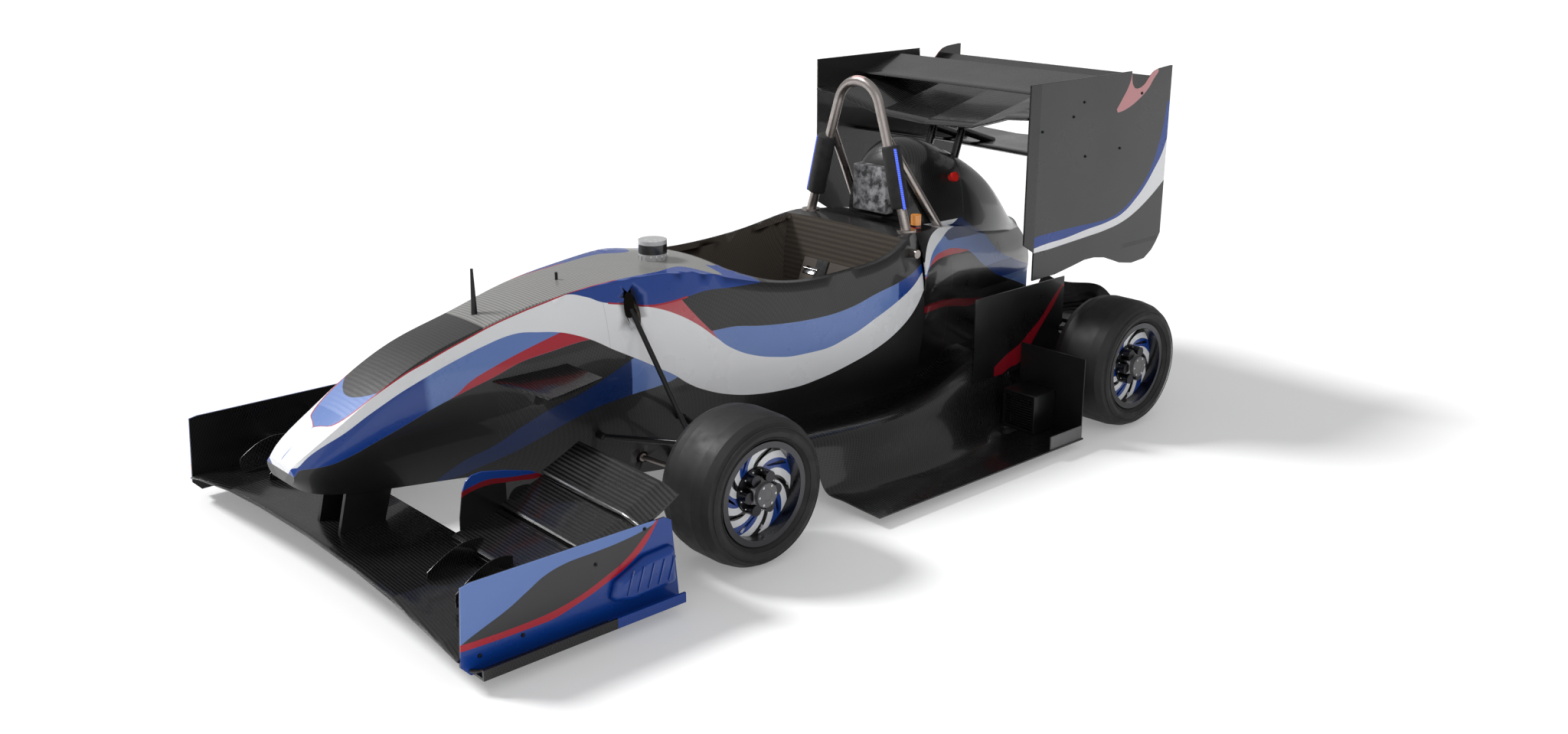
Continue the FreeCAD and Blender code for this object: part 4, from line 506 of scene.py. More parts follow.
# The wheels' swirl: radii, then angles in degrees, and widths as shares of one of its five turns.
SWIRL_INNER = 0.060
SWIRL_DEPTH = 0.0458
DISC_INNER = 0.062
DISC_OUTER = 0.1205
SWIRL_CURVE = 1.25
SWIRL_LEAN = 27.2
SWIRL_PERIOD = 72.0
SWIRL_LIFT = 20.0
SWIRL_DARK_HALF = 0.09
SWIRL_BLUE_HALF = 0.17
SWIRL_STEP = 0.008

# Shades, and how they are laid on.
WORN_SHADE = 0.86
MEAN_WEAVE = 0.33
BARE_ROUGHER = 0.14
# The cockpit's tows across the light are a painted shade of its weave colour.
COCKPIT_PAINTED_SHADE = 0.6  # shade of the cockpit's dark tows
NEAR_BLACK = (0.012, 0.012, 0.013)
SCRUBBED = (0.035, 0.032, 0.030)
BARREL_SHADE = (0.05, 0.05, 0.055)
LENS_BLACK = (0.008, 0.008, 0.008)
LIT_SHARE = 0.35
LIT_SOFTNESS = 0.12
LIT_DIM = 0.15
LIT_GAIN = 1.4
LIT_LIFT = 0.12
BEACON_BANDS = ((0.6335, (0.45, 0.01, 0.015)), (0.6375, LENS_BLACK), (0.643, (0.92, 0.36, 0.08)))
SCANNER_BANDS = ((0.664, (0.006, 0.006, 0.008)), (0.690, (0.50, 0.50, 0.51)))


# Finishes

def livery_group(colours):
    """The livery of nose and tub: bands, swoosh and fields, from the lines above."""
    graph, given, result = new_group("Nose and tub livery",
                                     {"Weave": DARK_GREY, "Silver": PALE_GREY, "Pinstripe": 0.0045},
                                     ("Color", "Painted", "Satin"))
    x, y, z = graph.place()
    girth = abs(y) + (graph.line(x, CROWN, *TUB_SPAN) - z)
    lines = {name: graph.line(x, points, *TUB_SPAN) for name, points in GIRTHS.items()}
    past = {name: girth.past(line) for name, line in lines.items()}
    low = graph.below(x, z, HEIGHTS, *TUB_SPAN)
    ahead = {name: x.past(place, BLENDED_ENDS.get(name, END_STEP)) for name, place in ENDS.items()}

    def within(rear, front):
        return ahead[rear] & ~ahead[front]

    def red_line(name, share, rear, front):
        return ~abs(girth - lines[name]).past(given["Pinstripe"] / share) & within(rear, front)

    nose = ahead["seam"]
    satin = ahead["satin"] & low["chin"]
    paint = ~low["swoosh"] & ~nose | nose & ~low["chin"] | nose & ~past["shoulder"]
    band = nose & past["shoulder"] & ~low["chin"]
    wedge = low["wedge_top"] & ~low["wedge_low"] & within("wedge_rear", "wedge_front") & low["swoosh"]
    flame = past["collar"] & ~low["flame"] & within("flame_rear", "flame_front")
    field = ~ahead["field"] & low["field_top"] & ~low["field_low"]
    bare = ~low["field_top"] & (~ahead["bare"] & ~low["bare_edge"] | ~ahead["all_bare"])
    collar = past["centre"] & ~past["collar"] & within("collar_rear", "collar_front")
    centre = ~past["centre"] & ahead["centre"]
    panel = graph.layers(given["Silver"], (ahead["weave"], given["Weave"]),
                         ((x + y * y * PANEL_BOW).past(PANEL_FRONT, END_STEP), colours.slate))
    colour = graph.layers(
        given["Weave"], (paint, colours.white), (satin, colours.black),
        (band, graph.layer(ahead["royal"], colours.slate, colours.royal)),
        (band & low["stripe"] & ~ahead["stripe"], colours.red),
        (wedge, graph.layer(ahead["navy"], colours.slate, colours.navy)),
        (flame, colours.faded_red),
        (field, graph.layer(ahead["slate"], colours.royal, colours.slate)),
        (bare, given["Weave"]), (collar, colours.royal), (centre, panel),
        (red_line("centre", 2.0, "pinstripe_rear", "pinstripe_front"), colours.red),
        (red_line("collar", 1.6, "lower_rear", "lower_front"), colours.red))
    covered = (paint | collar | field | wedge) & ~(bare | centre & ~ahead["crown"])
    graph.fill(result, {"Color": colour, "Painted": covered, "Satin": satin})


def surface(name, plain=None):
    """A new material with its graph and its main shader, which has plain values on its own sockets."""
    material = bpy.data.materials.new(name)
    material.use_nodes = True
    graph = Graph(material.node_tree)
    sockets = material.node_tree.nodes["Principled BSDF"].inputs
    graph.fill(sockets, plain or {})
    return material, graph, sockets


def coated(weight, roughness=0.06, **more):
    """Plain values of a clear coat."""
    return {"Coat Weight": weight, "Coat Roughness": roughness, **more}


def plain_finish(row, colours):
    """Paint, plastic or metal of one colour, with wear in its gloss."""
    colour = getattr(colours, row.colour) if isinstance(row.colour, str) else row.colour
    material, graph, sockets = surface(row.label, {"Base Color": colour, **row.sockets})
    worn = graph.wear(row.scale, row.smooth, row.rough)
    darker = tuple(part * WORN_SHADE for part in colour)
    graph.fill(sockets, {"Base Color": graph.layer(worn["Mask"], colour, darker),
                         "Roughness": worn["Roughness"],
                         "Normal": graph.bump(worn["Height"], row.unevenness)})
    return material


def twill(graph, sizes, dark, light):
    """The weave in two colours: a painted shade and a painted sheen."""
    return graph.group("Twill weave", Tow=sizes.tow, Dark=dark, Light=light)


def woven_finish(name, sizes, dark, light, coat, smooth, rough):
    """Woven carbon under resin, its weave in a painted shade and a painted sheen."""
    material, graph, sockets = surface(name, coated(coat, 0.08, **{"Specular IOR Level": 0.3}))
    weave = twill(graph, sizes, dark, light)
    worn = graph.wear(6.0, smooth, rough)
    graph.fill(sockets, {"Base Color": weave["Color"],
                         "Roughness": worn["Roughness"] + (weave["Roughness"] - MEAN_WEAVE),
                         "Normal": graph.bump(weave["Height"], WEAVE_DEPTH, WEAVE_STRENGTH)})
    return material


def livery_finish(colours, sizes):
    """Paint and bare weave of the nose and tub under one clear coat."""
    livery_group(colours)
    material, graph, sockets = surface("Nose and tub livery", coated(weight=0.35))
    weave = twill(graph, sizes, colours.weave_painted_shade, colours.weave_painted_sheen)
    silver = twill(graph, sizes, colours.silver_painted_shade, colours.silver_painted_sheen)
    livery = graph.group("Nose and tub livery", Weave=weave["Color"], Silver=silver["Color"],
                         Pinstripe=sizes.pinstripe)
    woven = weave["Height"] * ~livery["Painted"] * ~livery["Satin"]
    rougher = ~livery["Painted"] * BARE_ROUGHER
    graph.fill(sockets, {"Base Color": livery["Color"],
                         "Roughness": graph.wear(scale=5.0, smooth=0.24, rough=0.34)["Roughness"] + rougher,
                         "Normal": graph.bump(woven, WEAVE_DEPTH, WEAVE_STRENGTH)})
    return material


def plate_finish(name, colours, sizes, paint, inner, coat=0.3):
    """A plate painted outside by a function of its graph, and bare inside of a distance from the middle."""
    material, graph, sockets = surface(name, coated(coat, **{"Specular IOR Level": 0.35}))
    x, y, z = graph.place()
    out = abs(y)
    weave = twill(graph, sizes, colours.weave_painted_shade, colours.weave_painted_sheen)
    colour, bare = paint(graph, colours, x, out, z)
    hidden = bare | ~out.past(inner, 0.0004)
    graph.fill(sockets, {"Base Color": graph.layer(hidden, colour, weave["Color"]),
                         "Roughness": graph.wear(scale=5.0, smooth=0.26, rough=0.38)["Roughness"],
                         "Normal": graph.bump(weave["Height"] * hidden, WEAVE_DEPTH, WEAVE_STRENGTH)})
    return material


def front_paint(graph, colours, x, out, z):
    """Blue over a dark leaf over a royal foot, with a red line between; the gutter is bare."""
    low = graph.below(x, z, FRONT_PLATE, *FRONT_SPAN)
    colour = graph.layers(colours.slate, (low["leaf"], colours.leaf), (low["stripe"], colours.red),
                          (low["foot"], colours.royal), (out.past(POD_SKIN), colours.royal))
    return colour, out.past(GUTTER_SKIN) & ~z.past(GUTTER_TOP) & x.past(GUTTER_REAR)


def rear_paint(graph, colours, x, out, z):
    """Grey with a blue and a white band that rise to the rear, a pale red mark and a dark slot of painted
    shadow.
    """
    low = graph.below(x, z, REAR_PLATE, *REAR_SPAN)
    mark = ~low["mark_low"] & low["mark_top"] & x.past(MARK_REAR) & ~x.past(MARK_FRONT)
    # The slot is painted shadow, where a groove would hold shade.
    slot = ~abs(z - SLOT_HEIGHT).past(SLOT_HALF) & ~x.past(SLOT_FRONT, SLOT_FADE) & x.past(SLOT_REAR)
    colour = graph.layers(colours.leaf, (low["blue"], colours.royal), (low["white"], colours.white),
                          (low["foot"], colours.leaf), (mark, colours.pale_red), (slot, PAINTED_GROOVE_SHADOW))
    return colour, x.past(BARE_CORNER, END_STEP)


def board_paint(graph, colours, x, out, z):
    """Black with a dark red swoosh that rises to the rear."""
    low = graph.below(x, z, SIDE_BOARD, *BOARD_SPAN)
    swoosh = low["top"] & ~low["low"] & ~x.past(SWOOSH_FRONT)
    return graph.layer(swoosh, colours.black, colours.dark_red), x.past(NOWHERE)


def cowl_paint(graph, colours, x, out, z):
    """White arc, blue and red under it, silver tail paint whose fade to the fairing is a painted reflection,
    dark red below.
    """
    low = graph.below(x, z, COWL, *COWL_SPAN)
    band = low["band_top"] & ~low["band_low"]
    smooth = ~x.past(COWL_WEAVE, 0.002) & low["paint"]
    silver = ~low["tail"] & ~x.past(TAIL_FRONT)
    # The tail's fade from silver to black is a painted reflection of the fairing's flank catching the light.
    fairing = x + (z - FAIRING_FOOT) * FAIRING_LEAN
    tail = graph.layer(graph.stretch(fairing, *FAIRING_PAINTED_REFLECTION), colours.silver, colours.black)
    colour = graph.layers(
        colours.slate, (~low["arc_low"], colours.white),
        (~low["navy"] & low["arc_low"] & ~x.past(NAVY_FRONT), colours.navy),
        (low["red_top"] & x.past(COWL_RED_REAR), colours.faded_red),
        (low["royal_top"] & ~low["royal_low"] & ~x.past(COWL_ROYAL_FRONT), colours.royal),
        (silver, tail), (band & low["paint"], colours.dark_red), (smooth & ~band, colours.black))
    covered = ~low["paint"] & low["arc_top"] | silver | band | smooth
    return colour, ~covered


def fence_finish(colours):
    """Inner boards of the front wing: blue and dark red at the top, a silver corner, black below."""
    material, graph, sockets = surface("Fence livery", coated(weight=0.3))
    x, y, z = graph.place()
    low = graph.below(x, z, FENCE, *FENCE_SPAN)
    corner = low["black"] & ~low["silver"] & ~x.past(CORNER_FRONT)
    colour = graph.layers(colours.royal, (low["red"], colours.dark_red), (low["black"], colours.black),
                          (corner, CORNER_SHADE))
    worn = graph.wear(scale=6.0, smooth=0.25, rough=0.38)
    graph.fill(sockets, {"Base Color": colour, "Roughness": worn["Roughness"]})
    return material


def swirl_group():
    """Strips that sweep round a wheel, five times over: a dark one, then white, blue and white."""
    front, rear = centre("tyre_front_left"), centre("tyre_rear_left")
    graph, given, result = new_group("Swirl", {"Front": front.x, "Rear": rear.x, "Height": front.z},
                                     ("Dark", "Blue", "Radius"))
    x, y, z = graph.place()
    middle = given["Rear"] + x.past((front.x + rear.x) / 2) * (given["Front"] - given["Rear"])
    u = (x - middle) * graph.math("SIGN", y)
    v = z - given["Height"]
    radius = graph.math("SQRT", u * u + v * v)
    angle = graph.math("DEGREES", graph.math("ARCTAN2", u * -1.0, v))
    share = (radius - SWIRL_INNER) / SWIRL_DEPTH | 0.0
    place = ((angle - share ** SWIRL_CURVE * SWIRL_LEAN) / SWIRL_PERIOD + SWIRL_LIFT).fraction()
    from_zero = graph.math("MINIMUM", place, ~place)
    graph.fill(result, {"Dark": ~from_zero.past(SWIRL_DARK_HALF, SWIRL_STEP),
                        "Blue": ~abs(place - 0.5).past(SWIRL_BLUE_HALF, SWIRL_STEP), "Radius": radius})


def rim_finish(colours):
    """Wheel disc with its swirl, and a dark metal barrel."""
    swirl_group()
    material, graph, sockets = surface("Wheel livery", coated(weight=0.4))
    swirl = graph.group("Swirl")
    disc = swirl["Radius"].past(DISC_INNER) & ~swirl["Radius"].past(DISC_OUTER)
    painted = graph.layers(colours.white, (swirl["Blue"], colours.royal), (swirl["Dark"], NEAR_BLACK))
    graph.fill(sockets, {"Base Color": graph.layer(disc, BARREL_SHADE, painted), "Metallic": ~disc,
                         "Roughness": graph.wear(scale=12.0, smooth=0.22, rough=0.36)["Roughness"]})
    return material


def marbled_finish(name, low, high):
    """Hard grey foam with pale clouds."""
    material, graph, sockets = surface(name)
    mask = graph.stretch(graph.noise(scale=38.0, detail=9.0, roughness=0.62), low=0.40, high=0.62)
    grain = graph.group("Fine grain", Scale=500.0)
    graph.fill(sockets, {"Base Color": graph.layer(mask, low, high), "Roughness": mask * 0.15 + 0.6,
                         "Normal": graph.bump(grain["Height"], distance=0.0001)})
    return material


def light_finish(name, colour, strength, step):
    """A row of lit points behind a clear strip."""
    material, graph, sockets = surface(name, {"Base Color": colour, "Emission Strength": strength})
    x, y, z = graph.place()
    lit = (z / step).fraction().past(LIT_SHARE, LIT_SOFTNESS)
    dim = tuple(part * LIT_DIM for part in colour)
    bright = tuple(min(part * LIT_GAIN + LIT_LIFT, 1) for part in colour)
    graph.fill(sockets, {"Emission Color": graph.layer(lit, dim, bright),
                         "Roughness": graph.wear(scale=20.0, smooth=0.2, rough=0.35)["Roughness"]})
    return material


def banded_finish(name, lowest, bands):
    """Colours in bands of height: the lowest one, then each a lower height and a colour."""
    material, graph, sockets = surface(name, {"Coat Weight": 0.4})
    x, y, z = graph.place()
    worn = graph.wear(scale=30.0, smooth=0.18, rough=0.32)
    colour = graph.layers(lowest, *((z.past(height, 0.0005), over) for height, over in bands))
    graph.fill(sockets, {"Base Color": colour, "Roughness": worn["Roughness"],
                         "Normal": graph.bump(worn["Height"], distance=0.00003)})
    return material


def rubber_finish(name):
    """Slick tyre: dull black rubber, a little brown where it is scrubbed."""
    material, graph, sockets = surface(name, {"Specular IOR Level": 0.35})
    grain = graph.group("Fine grain", Scale=700.0)
    graph.fill(sockets, {"Base Color": graph.layer(grain["Shade"] * 0.5, NEAR_BLACK, SCRUBBED),
                         "Roughness": graph.wear(scale=18.0, smooth=0.48, rough=0.68)["Roughness"],
                         "Normal": graph.bump(grain["Height"], distance=0.00008)})
    return material


Finish = namedtuple("Finish", "label colour smooth rough scale unevenness sockets",
                    defaults=(14.0, 0.00004, {}))
METAL = {"Metallic": 1.0}
PLAIN_FINISHES = {
    "black": Finish("Satin black", "black", 0.30, 0.46,
                    sockets={"Coat Weight": 0.1, "Specular IOR Level": 0.3}),
    "deep_black": Finish("Matt black", (0.006, 0.006, 0.006), 0.5, 0.7, sockets={"Specular IOR Level": 0.2}),
    "mesh_metal": Finish("Cooler fins", (0.10, 0.10, 0.105), 0.35, 0.5, 40.0, sockets=METAL),
    "dark_metal": Finish("Dark metal", (0.05, 0.05, 0.055), 0.22, 0.38, 30.0, sockets=METAL),
    "steel": Finish("Warm grey steel", (0.42, 0.38, 0.36), 0.26, 0.42, 24.0, sockets=METAL),
    "dark_chrome": Finish("Dark chrome", (0.14, 0.14, 0.145), 0.10, 0.20, 30.0, sockets=METAL),
    "chrome": Finish("Bright metal", (0.75, 0.75, 0.76), 0.12, 0.24, 30.0, sockets=METAL),
    "foam": Finish("Black foam", (0.012, 0.012, 0.013), 0.6, 0.8, 40.0, 0.0002),
    "webbing": Finish("Black webbing", (0.014, 0.014, 0.015), 0.7, 0.85, 60.0, 0.0003),
    "red_plastic": Finish("Red plastic", (0.72, 0.02, 0.015), 0.18, 0.3, 20.0, sockets={"Coat Weight": 0.5}),
    "white": Finish("White paint", "white", 0.2, 0.3, 8.0, sockets={"Coat Weight": 0.5}),
    "royal": Finish("Royal blue paint", "royal", 0.16, 0.26, 8.0, sockets={"Coat Weight": 0.7}),
    "grey": Finish("Blank grey plate", (0.12, 0.12, 0.125), 0.35, 0.5, 12.0),
}


def make_finishes(colours, sizes):
    """Every material of the car, by a plain name."""
    twill_group()
    wear_group()
    grain_group()
    made = {key: plain_finish(row, colours) for key, row in PLAIN_FINISHES.items()}
    made["livery"] = livery_finish(colours, sizes)
    made["gloss_weave"] = woven_finish("Glossy woven carbon", sizes, colours.weave_painted_shade, colours.weave_painted_sheen,
                                       coat=0.45, smooth=0.20, rough=0.32)
    made["cockpit_weave"] = woven_finish("Cockpit carbon", sizes,
                                         tuple(part * COCKPIT_PAINTED_SHADE for part in colours.cockpit),
                                         colours.cockpit, coat=0.0, smooth=0.45, rough=0.62)
    for key, label, paint, inner, coat in (
            ("front_plate", "Front endplate livery", front_paint, 0.7062, 0.3),
            ("rear_plate", "Rear endplate livery", rear_paint, 0.4552, 0.3),
            ("side_board", "Side board livery", board_paint, 0.4310, 0.3),
            ("cowl", "Cowl livery", cowl_paint, 0.0, 0.5)):
        made[key] = plate_finish(label, colours, sizes, paint, inner, coat)
    made["fence"] = fence_finish(colours)
    made["rim"] = rim_finish(colours)
    made["rubber"] = rubber_finish("Tyre rubber")
    made["marbled"] = marbled_finish("Marbled headrest foam", low=(0.035, 0.035, 0.038),
                                     high=(0.42, 0.42, 0.44))
    made["led"] = light_finish("Blue light strip", colours.led, strength=0.9, step=0.0062)
    made["red_light"] = light_finish("Red warning light", (0.62, 0.40, 0.38), strength=0.12, step=0.02)
    made["beacon"] = banded_finish("Beacon", LENS_BLACK, BEACON_BANDS)
    made["lidar"] = banded_finish("Distance scanner", (0.42, 0.42, 0.43), SCANNER_BANDS)
    return made


# Modelling

finishes = {}
MERGE = 0.000005
SOFT_PIPE = 60  # degrees up to which an edge of a round piece is smooth


def deselect():
    """Nothing stays selected."""
    if bpy.context.mode != "OBJECT":
        bpy.ops.object.mode_set(mode="OBJECT")
    bpy.ops.object.select_all(action="DESELECT")


def only(piece):
    """One piece selected and active."""
    deselect()
    piece.select_set(True)
    bpy.context.view_layer.objects.active = piece


def merge():
    """Goes into edit mode and merges what lies together."""
    bpy.ops.object.mode_set(mode="EDIT")
    bpy.ops.mesh.select_all(action="SELECT")
    bpy.ops.mesh.remove_doubles(threshold=MERGE)


def coat(node, finish):
    """Gives a CAD node a finish."""
    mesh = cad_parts[node].data
    mesh.materials.clear()
    mesh.materials.append(finishes[finish])


def centre(node):
    """The middle of a CAD node."""
    low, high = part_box(node)
    return (Vector(low) + Vector(high)) / 2


def shown(name, mesh):
    """A mesh or a curve put in the scene."""
    piece = bpy.data.objects.new(name, mesh)
    bpy.context.scene.collection.objects.link(piece)
    return piece


def stand_in(node, name, body, slots, choose=None):
    """A merged copy of a CAD node, which may give each face its own finish."""
    piece = shown(name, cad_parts[node].data.copy())
    only(piece)
    merge()
    bpy.ops.object.mode_set(mode="OBJECT")
    piece.data.materials.clear()
    for slot in slots:
        piece.data.materials.append(finishes[slot])
    for face in piece.data.polygons:
        face.material_index = choose(face.center, face.normal) if choose else 0
    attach(piece, body)
    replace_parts(piece, node)
    return piece


def settle(piece, name, finish, angle=35):
    """Puts a piece's place in its mesh, merges and turns its faces out, smooths and coats it."""
    only(piece)
    bpy.ops.object.transform_apply(location=True, rotation=True, scale=True)
    merge()
    bpy.ops.mesh.normals_make_consistent(inside=False)
    bpy.ops.object.mode_set(mode="OBJECT")
    bpy.ops.object.shade_smooth_by_angle(angle=math.radians(angle))
    piece.name = name
    piece.data.materials.clear()
    piece.data.materials.append(finishes[finish])
    return piece


def change(piece, kind, **settings):
    """A modifier, applied."""
    only(piece)
    made = piece.modifiers.new(kind.title(), kind)
    for key, value in settings.items():
        setattr(made, key, value)
    bpy.ops.object.modifier_apply(modifier=made.name)


def rounded(piece, width, segments=2, **settings):
    """Sharp edges rounded."""
    change(piece, "BEVEL", width=width, segments=segments, limit_method="ANGLE", **settings)


def copied(piece, name, matrix):
    """A copy with a mesh of its own, put elsewhere."""
    made = shown(name, piece.data.copy())
    made.data.transform(matrix)
    return made


def joined(pieces, name, body):
    """Several pieces made one, which rides on a body."""
    deselect()
    for piece in pieces:
        piece.select_set(True)
    bpy.context.view_layer.objects.active = pieces[0]
    if len(pieces) > 1:
        bpy.ops.object.join()
    pieces[0].name = name
    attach(pieces[0], body)
    return pieces[0]


def turned(name, spot, way, rings, finish, segments=40, angle=35):
    """A turned piece: a disc drawn out ring by ring along its axis; a ring is a distance and a radius."""
    deselect()
    way = Vector(way).normalized()
    spot = Vector(spot)
    start, radius = rings[0]
    turn = way.to_track_quat("Z", "Y").to_euler()
    bpy.ops.mesh.primitive_circle_add(vertices=segments, radius=radius, fill_type="NGON",
                                      location=spot + way * start, rotation=turn)
    piece = bpy.context.object
    bpy.ops.object.mode_set(mode="EDIT")
    bpy.ops.mesh.select_mode(type="FACE")
    for (before, old), (after, new) in zip(rings, rings[1:]):
        bpy.ops.mesh.extrude_region_move(TRANSFORM_OT_translate={"value": way * (after - before)})
        bpy.ops.transform.resize(value=(new / old,) * 3, center_override=spot + way * after)
    bpy.ops.object.mode_set(mode="OBJECT")
    return settle(piece, name, finish, angle)


def box(spot, size, turn=(0, 0, 0)):
    """A sharp box to start from."""
    deselect()
    bpy.ops.mesh.primitive_cube_add(size=1, location=spot, rotation=turn)
    piece = bpy.context.object
    piece.scale = size
    bpy.ops.object.transform_apply(location=False, rotation=False, scale=True)
    return piece


def block(name, spot, size, finish, rounding=0.001, turn=(0, 0, 0), segments=2):
    """A box with rounded edges, turned about its own middle by degrees."""
    piece = box(spot, size, [math.radians(angle) for angle in turn])
    rounded(piece, rounding, segments)
    return settle(piece, name, finish)


def pipe(name, points, radius, finish, segments=4):
    """A round bar along points."""
    deselect()
    line = bpy.data.curves.new(name, "CURVE")
    line.dimensions = "3D"
    line.bevel_depth = radius
    line.bevel_resolution = segments
    line.use_fill_caps = True
    run = line.splines.new("NURBS" if len(points) > 2 else "POLY")
    run.points.add(len(points) - 1)
    for knot, point in zip(run.points, points):
        knot.co = (*point, 1)
    run.order_u = 3
    run.use_endpoint_u = True
    only(shown(name, line))
    bpy.ops.object.convert(target="MESH")
    return settle(bpy.context.object, name, finish, SOFT_PIPE)


def sheet(name, outline):
    """One flat face from its outline."""
    deselect()
    mesh = bpy.data.meshes.new(name)
    mesh.from_pydata([Vector(point) for point in outline], [], [range(len(outline))])
    return shown(name, mesh)


def panel(name, outline, thickness, finish, rounding=0.0008):
    """A flat plate from its outline, with its thickness and softened edges; its faces of more than four
    corners are shaded flat.
    """
    piece = sheet(name, outline)
    change(piece, "SOLIDIFY", thickness=thickness, offset=0)
    rounded(piece, rounding)
    settle(piece, name, finish)
    for face in piece.data.polygons:
        if len(face.vertices) > 4:
            face.use_smooth = False
    return piece


# A screw's head: heights and radii as shares of its own radius.
SCREW_RINGS = ((-0.25, 1.5), (0.2, 1.5), (0.21, 0.95), (0.9, 0.95), (1.05, 0.8), (1.06, 0.5), (0.5, 0.48))
SCREW_SIDES = 12


def screws(name, body, finish, places, radius):
    """Cap screws with a hollow head, one modelled and copied; a place is a spot and the way it faces."""
    rings = [(along * radius, wide * radius) for along, wide in SCREW_RINGS]
    model = turned(name, (0, 0, 0), (0, 0, 1), rings, finish, SCREW_SIDES)
    made = []
    for spot, way in places:
        turn = Vector(way).to_track_quat("Z", "Y").to_matrix().to_4x4()
        made.append(copied(model, name, Matrix.Translation(spot) @ turn))
    bpy.data.objects.remove(model)
    return joined(made, name, body)


def circle(count, radius, first=0):
    """Spots round a circle, as two offsets and an angle in degrees."""
    angles = [first + 360 / count * number for number in range(count)]
    return [(radius * math.cos(math.radians(a)), radius * math.sin(math.radians(a)), a) for a in angles]


# Stage

FLOOR_SIZE = 120
FLOOR_SHADE = (0.86, 0.86, 0.86)
FLOOR_GLOW = 0.22
WHITE_LIGHT = (1, 1, 1)
WORLD_MIRRORED = 0.45
WORLD_LIGHT = 0.38
LAMPS = (  # strength, the way the light goes, softness in degrees
    ("Key", 2.7, (-0.364, 0.612, -0.731), 14),
    ("Fill", 0.5, (-0.5, -0.75, -0.42), 60),
)
LENS = 35
SENSOR = 36
CAMERA_PLACE = (2.862609, 3.302496, 1.672091)
CAMERA_TURN = (72.019821, 0, 137.475297)


class RACING_OT_stage(bpy.types.Operator):
    """White floor, soft light and the camera"""
    bl_idname = "racing.stage"
    bl_label = "Stage"

    def execute(self, context):
        self.floor(context)
        self.light_world(context)
        for name, strength, way, soft in LAMPS:
            lamp = bpy.data.lights.new(name, "SUN")
            lamp.energy = strength
            lamp.angle = math.radians(soft)
            shown(name, lamp).rotation_euler = Vector(way).to_track_quat("-Z", "Y").to_euler()
        camera = shown("Camera", bpy.data.cameras.new("Camera"))
        camera.data.lens = LENS
        camera.data.sensor_width = SENSOR
        camera.location = CAMERA_PLACE
        camera.rotation_euler = [math.radians(angle) for angle in CAMERA_TURN]
        context.scene.camera = camera
        context.scene.view_settings.view_transform = "Standard"
        return {"FINISHED"}

    def floor(self, context):
        """A floor that is white to the camera and keeps the car's shadow."""
        deselect()
        bpy.ops.mesh.primitive_plane_add(size=FLOOR_SIZE)
        floor = context.object
        floor.name = "stage_floor"
        material, graph, sockets = surface("Stage floor", {
            "Base Color": FLOOR_SHADE, "Roughness": 0.9, "Specular IOR Level": 0.0,
            "Emission Color": WHITE_LIGHT})
        camera_ray = graph.value("LightPath", out="Is Camera Ray")
        glossy_ray = graph.value("LightPath", out="Is Glossy Ray")
        graph.plug(sockets["Emission Strength"], (camera_ray | glossy_ray) * FLOOR_GLOW)
        floor.data.materials.append(material)

    def light_world(self, context):
        """A white surround, dimmer for the light that it gives than for what sees it."""
        world = bpy.data.worlds.new("Studio")
        context.scene.world = world
        world.use_nodes = True
        graph = Graph(world.node_tree)
        camera_ray, through_ray, glossy_ray = [
            graph.value("LightPath", out=f"Is {kind} Ray") for kind in ("Camera", "Transmission", "Glossy")]
        graph.fill(world.node_tree.nodes["Background"].inputs, {
            "Color": WHITE_LIGHT,
            "Strength": camera_ray | through_ray | glossy_ray * WORLD_MIRRORED | WORLD_LIGHT})


# Body

TUB_AXIS = 0.33  # height between the tub's inner and outer sides
COCKPIT_REAR = -0.48
COCKPIT_FRONT = 0.88
FACING = 0.7  # how far a wall's normal points along the car


class RACING_OT_body(bpy.types.Operator):
    """Tub and nose with their livery, and the carbon inside the cockpit"""
    bl_idname = "racing.body"
    bl_label = "Body"

    def execute(self, context):
        def slot(spot, normal):
            outward = Vector((0, spot.y, spot.z - TUB_AXIS))
            across = abs(normal.x) > FACING and COCKPIT_REAR < spot.x < COCKPIT_FRONT
            return 1 if normal.dot(outward) < 0 or across else 0

        stand_in("monocoque", "tub_shell", "chassis", ("livery", "cockpit_weave"), slot)
        coat("nose_cone", "livery")
        coat("rear_cowl", "cowl")
        coat("rear_tub", "cowl")
        coat("battery_pack", "black")
        return {"FINISHED"}


# Wings: each place is along the car and its height, unless it names more

REAR_FACE = 0.455
REAR_ROUNDING = 0.0012
FENCE_FACE = 0.298
FENCE_ROUNDING = 0.001
FRONT_SCREW_FACE = 0.7092
REAR_SCREW_FACE = 0.4582
PLATE_SCREW = 0.0035
FRONT_SCREWS = ((1.37, 0.073), (1.26, 0.083), (1.06, 0.188), (0.92, 0.233))
REAR_SCREWS = ((-0.80, 0.93), (-0.95, 0.96), (-1.02, 0.83), (-1.20, 0.835), (-1.30, 1.0), (-1.0, 1.0))
VANES = ((0.560, 1.335, 0.070), (0.410, 1.320, 0.058))  # sideways, leading edge, height
VANE_LENGTH = 0.17
VANE_BEND = 0.030
VANE_FOOT = 0.128
VANE_SEAT = 0.118
VANE_STEPS = 8
